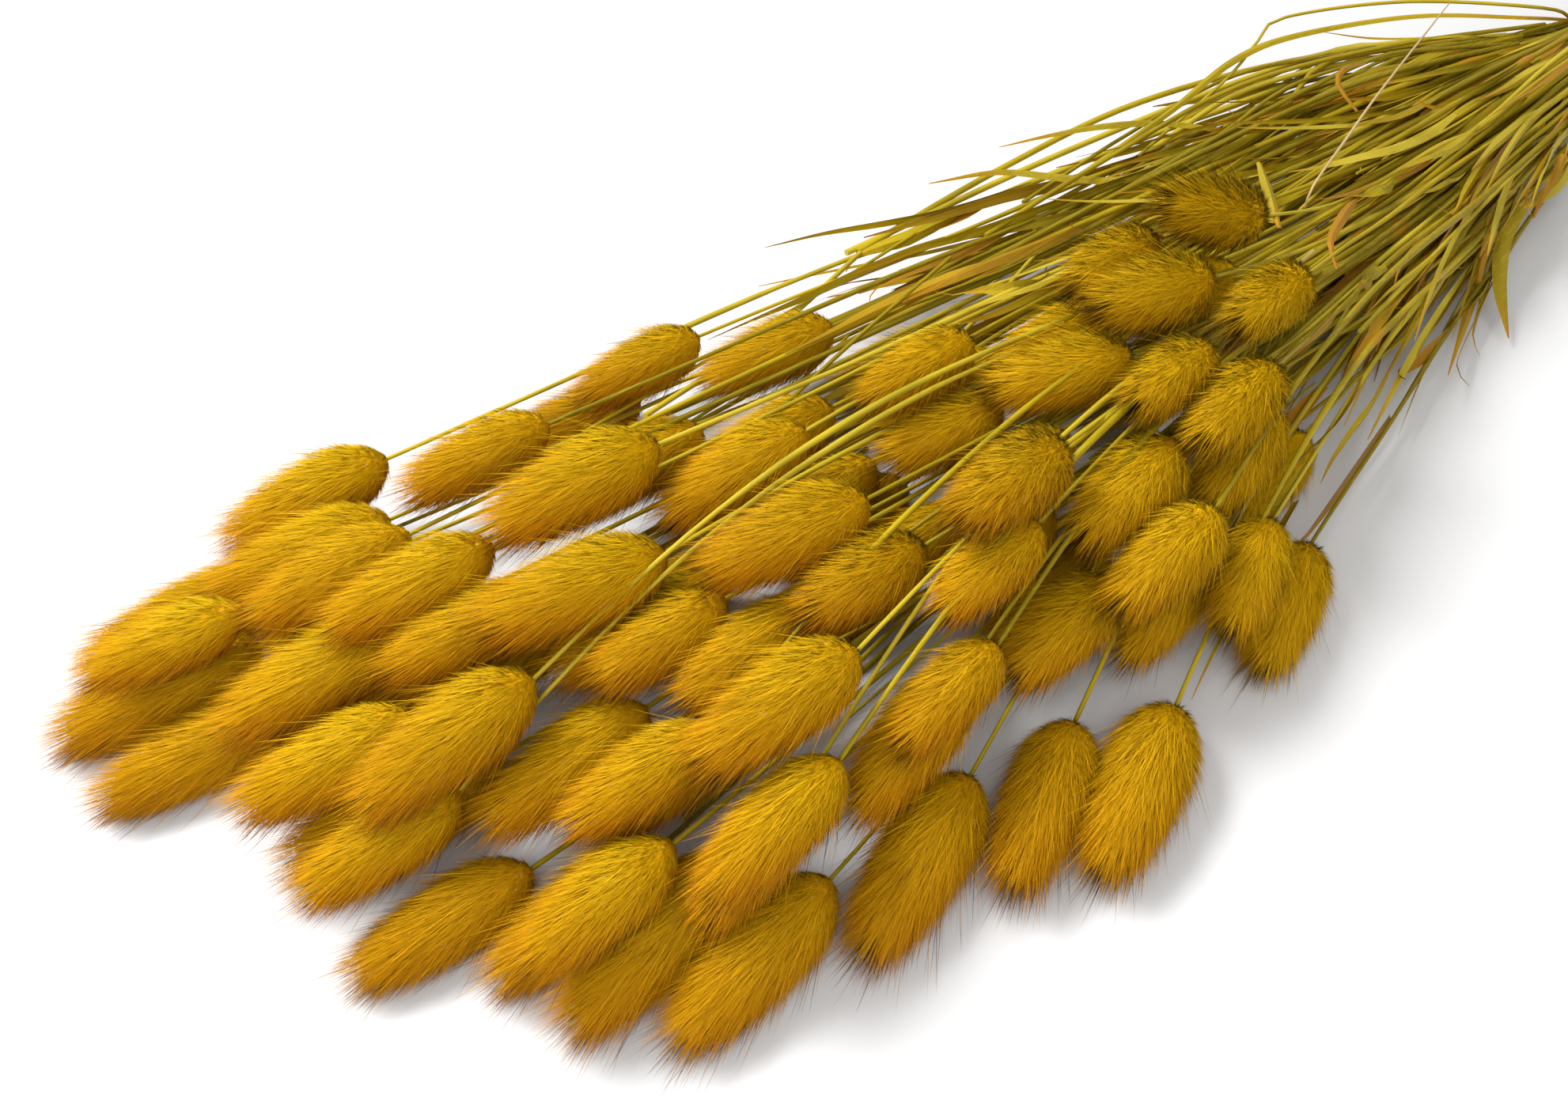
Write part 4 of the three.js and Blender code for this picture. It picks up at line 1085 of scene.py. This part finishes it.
def litterSheaths(draw):
    made = []
    while len(made) < litter["sheaths"]:
        plant = plants[int(draw() * len(plants))]
        root = litter["near"] + draw() ** litter["nearPower"] * (litter["far"] - litter["near"])
        length = litter["sheathLength"] + around(draw, litter["sheathSpread"])
        turn = draw() * 2 * math.pi
        away = np.array([0, math.cos(turn), math.sin(turn)])
        run = sheathRun(draw, plant, root, length, away, 1 + draw() * litter["sheathReach"],
                        litter["halfWidth"] * (0.5 + draw()))
        if run:
            made.append((plant["group"], run))
    return made


def litterSideLeaves(draw, outer):
    # leaves that lean out low at one side, in turn on the near and on the far one
    made = []
    for index in range(litter["sideLeaves"]):
        nearSide = index % 2 == 0
        skipped = len(plants) - litter["sideStems"] if nearSide else 0
        plant = outer[int(draw() * litter["sideStems"]) + skipped]
        root = litter["sideRoot"] + draw() * (litter["sideNear"] if nearSide else litter["sideFar"])
        tilt = around(draw, litter["sideTilt"]) + (litter["sideDown"] if nearSide else litter["sideUp"])
        away = unit(np.array([0, 1.0 if nearSide else -1.0, tilt]))
        run = sheathRun(draw, plant, root, drawn(draw, litter["sideLength"]), away,
                        litter["sideLeast"] + draw() * litter["sideReach"],
                        litter["halfWidth"] * drawn(draw, litter["sideWidth"]))
        if run:
            made.append((plant["group"], run))
    return made


def litterStraws(draw):
    # loose straws that cross the bunch
    made = []
    for _ in range(litter["straws"]):
        plant = plants[int(draw() * len(plants))]
        other = plants[int(draw() * len(plants))]
        root = litter["near"] + draw() ** litter["strawPower"] * (litter["strawFar"] - litter["near"])
        far = root + litter["strawLength"] * (0.5 + draw())
        start, end, ahead = stemAt(plant, root), stemAt(other, far), stemAt(plant, far)
        if start is None or end is None or ahead is None:
            continue
        lift = np.array([0, around(draw, litter["strawLift"]), around(draw, litter["strawLift"])])
        end = ahead + (end - ahead) * litter["strawCross"]
        knee = start + (end - start) * drawn(draw, litter["strawKnee"])
        knee = knee + np.array([0, around(draw, litter["kneeAside"]), around(draw, litter["kneeUp"])])
        run = smoothPath([start + lift, knee + lift, end + lift], litter["strawSpacing"])[0]
        run[:, 2] = np.maximum(run[:, 2], litter["strawFloor"])
        radius = litter["strawRadius"] * drawn(draw, litter["strawRadii"]) * mm
        made.append((plant["group"], (run, strawFields(run, radius, draw()))))
    return made


def litterArches(draw, outer):
    # stems that bow out of the bunch on its far side near the band and come back to it
    made = []
    for _ in range(litter["arches"]):
        plant = outer[int(draw() * litter["archStems"])]
        root, length = litter["near"] + draw() * litter["archRoot"], drawn(draw, litter["archLength"])
        away = unit(np.array([0, litter["archAim"][0], drawn(draw, litter["archAim"][1:])]))
        reach = litter["archReach"] * drawn(draw, litter["archShare"])
        knee = drawn(draw, litter["archKnee"])
        path = []
        for share in (0, knee * 0.5, knee, (1 + knee) / 2, 1):
            place = stemAt(plant, root + length * share)
            if place is not None:
                out = share / knee if share < knee else (1 - share) / (1 - knee)
                bowed = away * (litter["archClear"] + reach * out ** litter["archRound"])
                path.append(place + bowed + np.array([0, around(draw, litter["archAside"]), 0]))
        if len(path) < litter["archPoints"]:
            continue
        run = smoothPath(path, litter["archSpacing"])[0]
        run[:, 2] = np.maximum(run[:, 2], litter["archFloor"])
        radius = drawn(draw, litter["archRadii"]) * mm
        made.append((plant["group"], (run, strawFields(run, radius, draw()))))
    return made


def litterRuns(draw):
    # what lies along the stems; each kind draws after the one before it
    outer = sorted(plants, key=lambda plant: plant["points"][3][1])
    made = litterSheaths(draw)
    made = made + litterSideLeaves(draw, outer)
    made = made + litterStraws(draw)
    return made + litterArches(draw, outer)


# single stems and blades that stand out, each through places (across and down the photograph, and a height)
leafStray = {"bleach": 0.0, "wide": True, "group": 3, "joins": False}
stemStray = {**leafStray, "wide": False}
strays = [
    {**stemStray, "path": [(1650, 262, 52), (1660, 235, 60), (1700, 178, 62), (1745, 115, 64), (1832, 4, 64)],
     "half": [0.4, 0.5, 0.45, 0.4, 0.25], "bleach": 0.85, "tone": 0.9},
    {**stemStray, "path": [(1526, 470, 52), (1560, 415, 58), (1610, 360, 60), (1660, 318, 56)],
     "half": [0.7, 0.9, 0.9, 0.7], "bleach": 0.4, "tone": 0.9},
    {**leafStray, "path": [(1560, 165, 36), (1470, 155, 40), (1400, 158, 42), (1330, 170, 43),
                           (1263, 186, 42)],
     "half": [1.0, 1.6, 1.7, 1.1, 0.2], "tone": 0.35, "group": 2},
    {**leafStray, "path": [(1500, 205, 36), (1420, 226, 40), (1345, 224, 42), (1262, 217, 43),
                           (1174, 232, 42)],
     "half": [1.0, 1.5, 1.7, 1.2, 0.2], "tone": 0.32, "group": 2},
    {**stemStray, "path": [(1440, 196, 36), (1550, 100, 42), (1590, 52, 46), (1624, 22, 48), (1778, 2, 48),
                           (1950, 10, 44)],
     "half": [0.6, 0.6, 0.6, 0.7, 0.7, 0.7], "tone": 0.6, "group": 2, "joins": True},
    {**leafStray, "path": [(1350, 232, 36), (1480, 140, 42), (1560, 76, 46), (1640, 44, 46), (1790, 20, 46),
                           (1930, 22, 44)],
     "half": [0.9, 1.2, 1.5, 1.2, 1.0, 0.8], "tone": 0.5, "group": 2, "joins": True},
    {**leafStray, "path": [(1925, 262, 26), (1902, 304, 20), (1897, 360, 12), (1907, 428, 4)],
     "half": [2.0, 3.0, 2.4, 0.2], "tone": 0.32, "group": 4},
    {**leafStray, "path": [(1890, 290, 24), (1874, 325, 18), (1868, 355, 12), (1871, 383, 8)],
     "half": [1.4, 1.8, 1.4, 0.2], "tone": 0.15, "group": 4},
    {**leafStray, "path": [(1978, 195, 30), (1968, 220, 26), (1950, 248, 20), (1939, 276, 14)],
     "half": [1.4, 1.8, 1.4, 0.2], "tone": 0.15, "group": 4},
    {**leafStray, "path": [(1592, 205, 50), (1604, 240, 57), (1611, 266, 61), (1618, 288, 62)],
     "half": [1.0, 2.0, 2.2, 0.8], "tone": 0.6},
    {**leafStray, "path": [(1716, 248, 52), (1696, 276, 58), (1682, 306, 60), (1690, 340, 56)],
     "half": [0.8, 1.8, 1.7, 0.3], "tone": 0.12},
    {**leafStray, "path": [(1716, 140, 52), (1692, 106, 59), (1700, 86, 60), (1726, 80, 56)],
     "half": [0.8, 1.2, 1.1, 0.3], "tone": 0.12},
]
strayLay = {"up": (0, 0.3, 1.0), "twist": 0.8, "along": 0.5}


def seenAt(across, down, height):
    # the place at a height, in millimetres, that lies behind a place of the photograph
    pitch, heading = math.radians(camera["pitch"]), math.radians(camera["heading"])
    level, fall = math.cos(pitch), -math.sin(pitch)
    ahead = np.array([level * math.cos(heading), level * math.sin(heading), fall])
    right = np.array([math.sin(heading), -math.cos(heading), 0])
    sight = ahead * camera["focalPixels"] + right * (across - camera["imageWidth"] / 2)
    sight = sight + np.cross(right, ahead) * (camera["imageHeight"] / 2 - down)
    return np.array(camera["place"]) + sight * ((height - camera["place"][2]) / sight[2])


def strayRuns(draw):
    made = []
    for stray in strays:
        points = np.array([seenAt(*place) for place in stray["path"]])
        if stray["joins"]:
            # back to the stem that is nearest at the band
            seats = [stemAt(plant, litter["near"]) for plant in plants]
            nearest = min(seats, key=lambda seat: np.linalg.norm(seat - points[-1]))
            points = np.vstack([points, nearest])
        if stray["wide"]:
            twist = around(draw, strayLay["twist"])
            run, fields = ribbonRun(points, np.array(strayLay["up"]), stray["half"], twist, stray["tone"])
        else:
            run, gone = smoothPath(points, ribbon["spacing"])
            half = np.interp(gone / gone[-1], np.linspace(0, 1, len(stray["half"])), stray["half"])
            fields = {**strawFields(run, half * mm, stray["tone"]), "along": strayLay["along"]}
        fields["bleach"] = stray["bleach"]
        made.append((stray["group"], (run, fields)))
    return made


def stalkTree():
    # round straws where a path isn't wide, folded ribbons where it is
    sizes = {"Sides": stalk["profileSides"], "Fold": stalk["fold"], "Thickness": stalk["thickness"],
             "Straw": dryStem, "Leaf": dryBlade}
    tree, given, result = newTree("growStalks", sizes)
    paths = addNode(tree, "GeometryNodeMeshToCurve", {"Mesh": given["Geometry"]}).outputs[0]
    isWide = addNode(tree, "FunctionNodeCompare", {"A": readField(tree, "wide"), "B": 0.5}).outputs[0]
    parts = addNode(tree, "GeometryNodeSeparateGeometry", {"Geometry": paths, "Selection": isWide},
                    domain="CURVE").outputs
    radius = readField(tree, "radius")
    ring = addNode(tree, "GeometryNodeCurvePrimitiveCircle", {"Resolution": given["Sides"], "Radius": 1.0})
    straws = addNode(tree, "GeometryNodeCurveToMesh", {"Curve": parts[1], "Profile Curve": ring.outputs[0],
                                                       "Scale": radius, "Fill Caps": True}).outputs[0]
    straws = addNode(tree, "GeometryNodeSetMaterial", {"Geometry": straws, "Material": given["Straw"]})
    fold, thick = given["Fold"], given["Thickness"]
    left = addNode(tree, "ShaderNodeCombineXYZ", {"X": -1.0, "Y": fold}).outputs[0]
    right = addNode(tree, "ShaderNodeCombineXYZ", {"X": 1.0, "Y": fold}).outputs[0]
    under = addNode(tree, "ShaderNodeCombineXYZ", {"Y": math2(tree, "MULTIPLY", thick, -1.0)}).outputs[0]
    upper = addNode(tree, "ShaderNodeCombineXYZ", {"Y": thick}).outputs[0]
    chevron = addNode(tree, "GeometryNodeCurvePrimitiveQuadrilateral",
                      {"Point 1": left, "Point 2": under, "Point 3": right, "Point 4": upper}, mode="POINTS")
    turned = addNode(tree, "GeometryNodeSetCurveTilt", {"Curve": parts[0], "Tilt": readField(tree, "turn")})
    blades = addNode(tree, "GeometryNodeCurveToMesh", {"Curve": turned.outputs[0],
                                                       "Profile Curve": chevron.outputs[0],
                                                       "Scale": radius, "Fill Caps": True}).outputs[0]
    flat = addNode(tree, "GeometryNodeSetShadeSmooth", {"Geometry": blades, "Shade Smooth": False}).outputs[0]
    blades = addNode(tree, "GeometryNodeSetMaterial", {"Geometry": flat, "Material": given["Leaf"]})
    joined = addNode(tree, "GeometryNodeJoinGeometry")
    for part in (straws, blades):
        tree.links.new(part.outputs[0], joined.inputs[0])
    real = addNode(tree, "GeometryNodeRealizeInstances", {"Geometry": joined.outputs[0]}).outputs[0]
    tree.links.new(real, result["Geometry"])
    return tree


def dressStems():
    tree = stalkTree()
    draw = seededDraw(stalk["seed"])
    runs = [[] for _ in range(growth["groupCount"])]
    for index, plant in enumerate(plants):
        runs[plant["group"]].append(stalkRun(plant, stalk["arched"].get(index, 0), draw))
    widths = leafHalfWidth(np.linspace(0, 1, blade["widthPoints"]))
    for leaf in leaves:
        runs[leaf["group"]].append(ribbonRun(leaf["points"], leaf["out"], widths, leaf["twist"], draw()))
    for group, run in litterRuns(draw) + strayRuns(draw):
        runs[group].append(run)
    for group in range(growth["groupCount"]):
        name = f"stalks_{group + 1}"
        source = pathMesh(name + "_paths", runs[group])
        sizes = {"Sides": stalk["profileSides"], "Straw": dryStem, "Leaf": dryBlade}
        piece = growMesh(source, tree, sizes, name)
        dropSource(source)
        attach(piece, "root")
        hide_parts(f"stems_{group + 1}")


dressStems()
stalks = [thing for thing in bpy.data.objects if thing.name.startswith("stalks")]
print("stems grown:", sum(len(group.data.polygons) for group in stalks), "faces")


# the rubber band: one flat strand wound three times, its turns side by side

rubberBand = {
    "turns": 3, "width": 3.2, "thickness": 1.7, "points": 72, "wave": 0.25, "turnPhase": 1.7,
    "outerWave": 0.3, "corners": 10, "flatPower": 0.55, "highPower": 0.75, "offFloor": 0.1,
}


def windBand():
    corners, faces = [], []
    count = rubberBand["points"]
    sides = rubberBand["corners"]
    half, thick = rubberBand["width"] / 2, rubberBand["thickness"] / 2
    middleRadius = bandInside + growth["bandThickness"] / 2
    pitch = growth["bandHalf"] * 2 / rubberBand["turns"]
    out = middleRadius * math.cos(math.pi / growth["bandSides"]) ** 0.5
    for turn in range(rubberBand["turns"]):
        first = len(corners)
        outermost = turn in (0, rubberBand["turns"] - 1)
        for place in range(count):
            angle = place / count * 2 * math.pi
            wave = rubberBand["wave"] * math.sin(2 * angle + turn * rubberBand["turnPhase"])
            wave = wave * (rubberBand["outerWave"] if outermost else 1)
            x = -growth["bandHalf"] + pitch * (turn + 0.5) + wave
            for corner in range(sides):
                bend = corner / sides * 2 * math.pi
                flat = math.copysign(abs(math.cos(bend)) ** rubberBand["flatPower"], math.cos(bend))
                high = math.copysign(abs(math.sin(bend)) ** rubberBand["highPower"], math.sin(bend))
                reach = out + high * thick
                y, z = math.cos(angle) * reach, bandHeight + math.sin(angle) * reach
                corners.append([x + flat * half, y, z])
        for place in range(count):
            for corner in range(sides):
                a = first + place * sides + corner
                b = first + place * sides + (corner + 1) % sides
                c = first + ((place + 1) % count) * sides + (corner + 1) % sides
                d = first + ((place + 1) % count) * sides + corner
                faces.append((a, b, c, d))
    mesh = bpy.data.meshes.new("rubberBand")
    places = np.array(corners)
    places[:, 2] = np.maximum(places[:, 2], rubberBand["offFloor"])
    mesh.from_pydata((places + shift) * mm, [], faces)
    mesh.shade_smooth()
    mesh.materials.append(naturalRubber)
    piece = newObject("rubberBand", mesh)
    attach(piece, "root")
    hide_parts("band")


windBand()
print("band wound")


# the surface, the light and the camera

studio = {
    "floorSize": 6.0, "floorColour": (0.70, 0.70, 0.70), "floorShade": 0.985, "floorPatches": 3.0,
    "keySize": 0.6, "keyDistance": 1.6, "keyEnergy": 32.0, "keyAim": (0.45, -0.54, 0.90),
    "fillSize": 1.8, "fillDistance": 1.9, "fillEnergy": 25.0, "fillAim": (0.58, 0.56, 0.75),
    "world": 0.44, "middle": (0.05, 0.0, 0.03),
}


def layFloor():
    half = studio["floorSize"] / 2
    mesh = bpy.data.meshes.new("surface")
    rim = [(-half, -half, 0), (half, -half, 0), (half, half, 0), (-half, half, 0)]
    mesh.from_pydata(rim, [], [(0, 1, 2, 3)])
    material, tree, shader = newMaterial("paleSurface", {"Roughness": 0.7, "Specular IOR Level": 0.2})
    place = addNode(tree, "ShaderNodeTexCoord").outputs["Object"]
    inputs = {"Vector": place, "Scale": studio["floorPatches"], "Detail": 2.0}
    soft = addNode(tree, "ShaderNodeTexNoise", inputs).outputs[0]
    darker = tuple(studio["floorShade"] * part for part in studio["floorColour"])
    shade = mixed(tree, soft, studio["floorColour"], darker)
    tree.links.new(shade, shader.inputs["Base Color"])
    mesh.materials.append(material)
    newObject("surface", mesh)


def lightUp():
    world = bpy.data.worlds.new("softRoom")
    world.use_nodes = True
    background = world.node_tree.nodes["Background"]
    background.inputs["Color"].default_value = (1, 1, 1, 1)
    background.inputs["Strength"].default_value = studio["world"]
    bpy.context.scene.world = world
    middle = Vector(studio["middle"])
    for name in ("key", "fill"):
        aim = Vector(studio[name + "Aim"]).normalized()
        data = bpy.data.lights.new(name + "Light", "AREA")
        data.size = studio[name + "Size"]
        data.energy = studio[name + "Energy"]
        light = bpy.data.objects.new(name + "Light", data)
        light.location = middle + aim * studio[name + "Distance"]
        light.rotation_euler = aim.to_track_quat("Z", "Y").to_euler()
        bpy.context.scene.collection.objects.link(light)
    bpy.context.scene.view_settings.view_transform = "Standard"


def placeCamera():
    data = bpy.data.cameras.new("camera")
    data.sensor_width = camera["sensorWidth"]
    data.lens = camera["sensorWidth"] * camera["focalPixels"] / camera["imageWidth"]
    data.clip_start = camera["clipStart"]
    made = bpy.data.objects.new("camera", data)
    made.location = Vector((np.array(camera["place"]) + shift) * mm)
    made.rotation_euler = Euler((math.radians(90 - camera["pitch"]), 0, math.radians(camera["heading"] - 90)))
    bpy.context.scene.collection.objects.link(made)
    bpy.context.scene.camera = made


layFloor()
lightUp()
placeCamera()
print("surface, light and camera set")
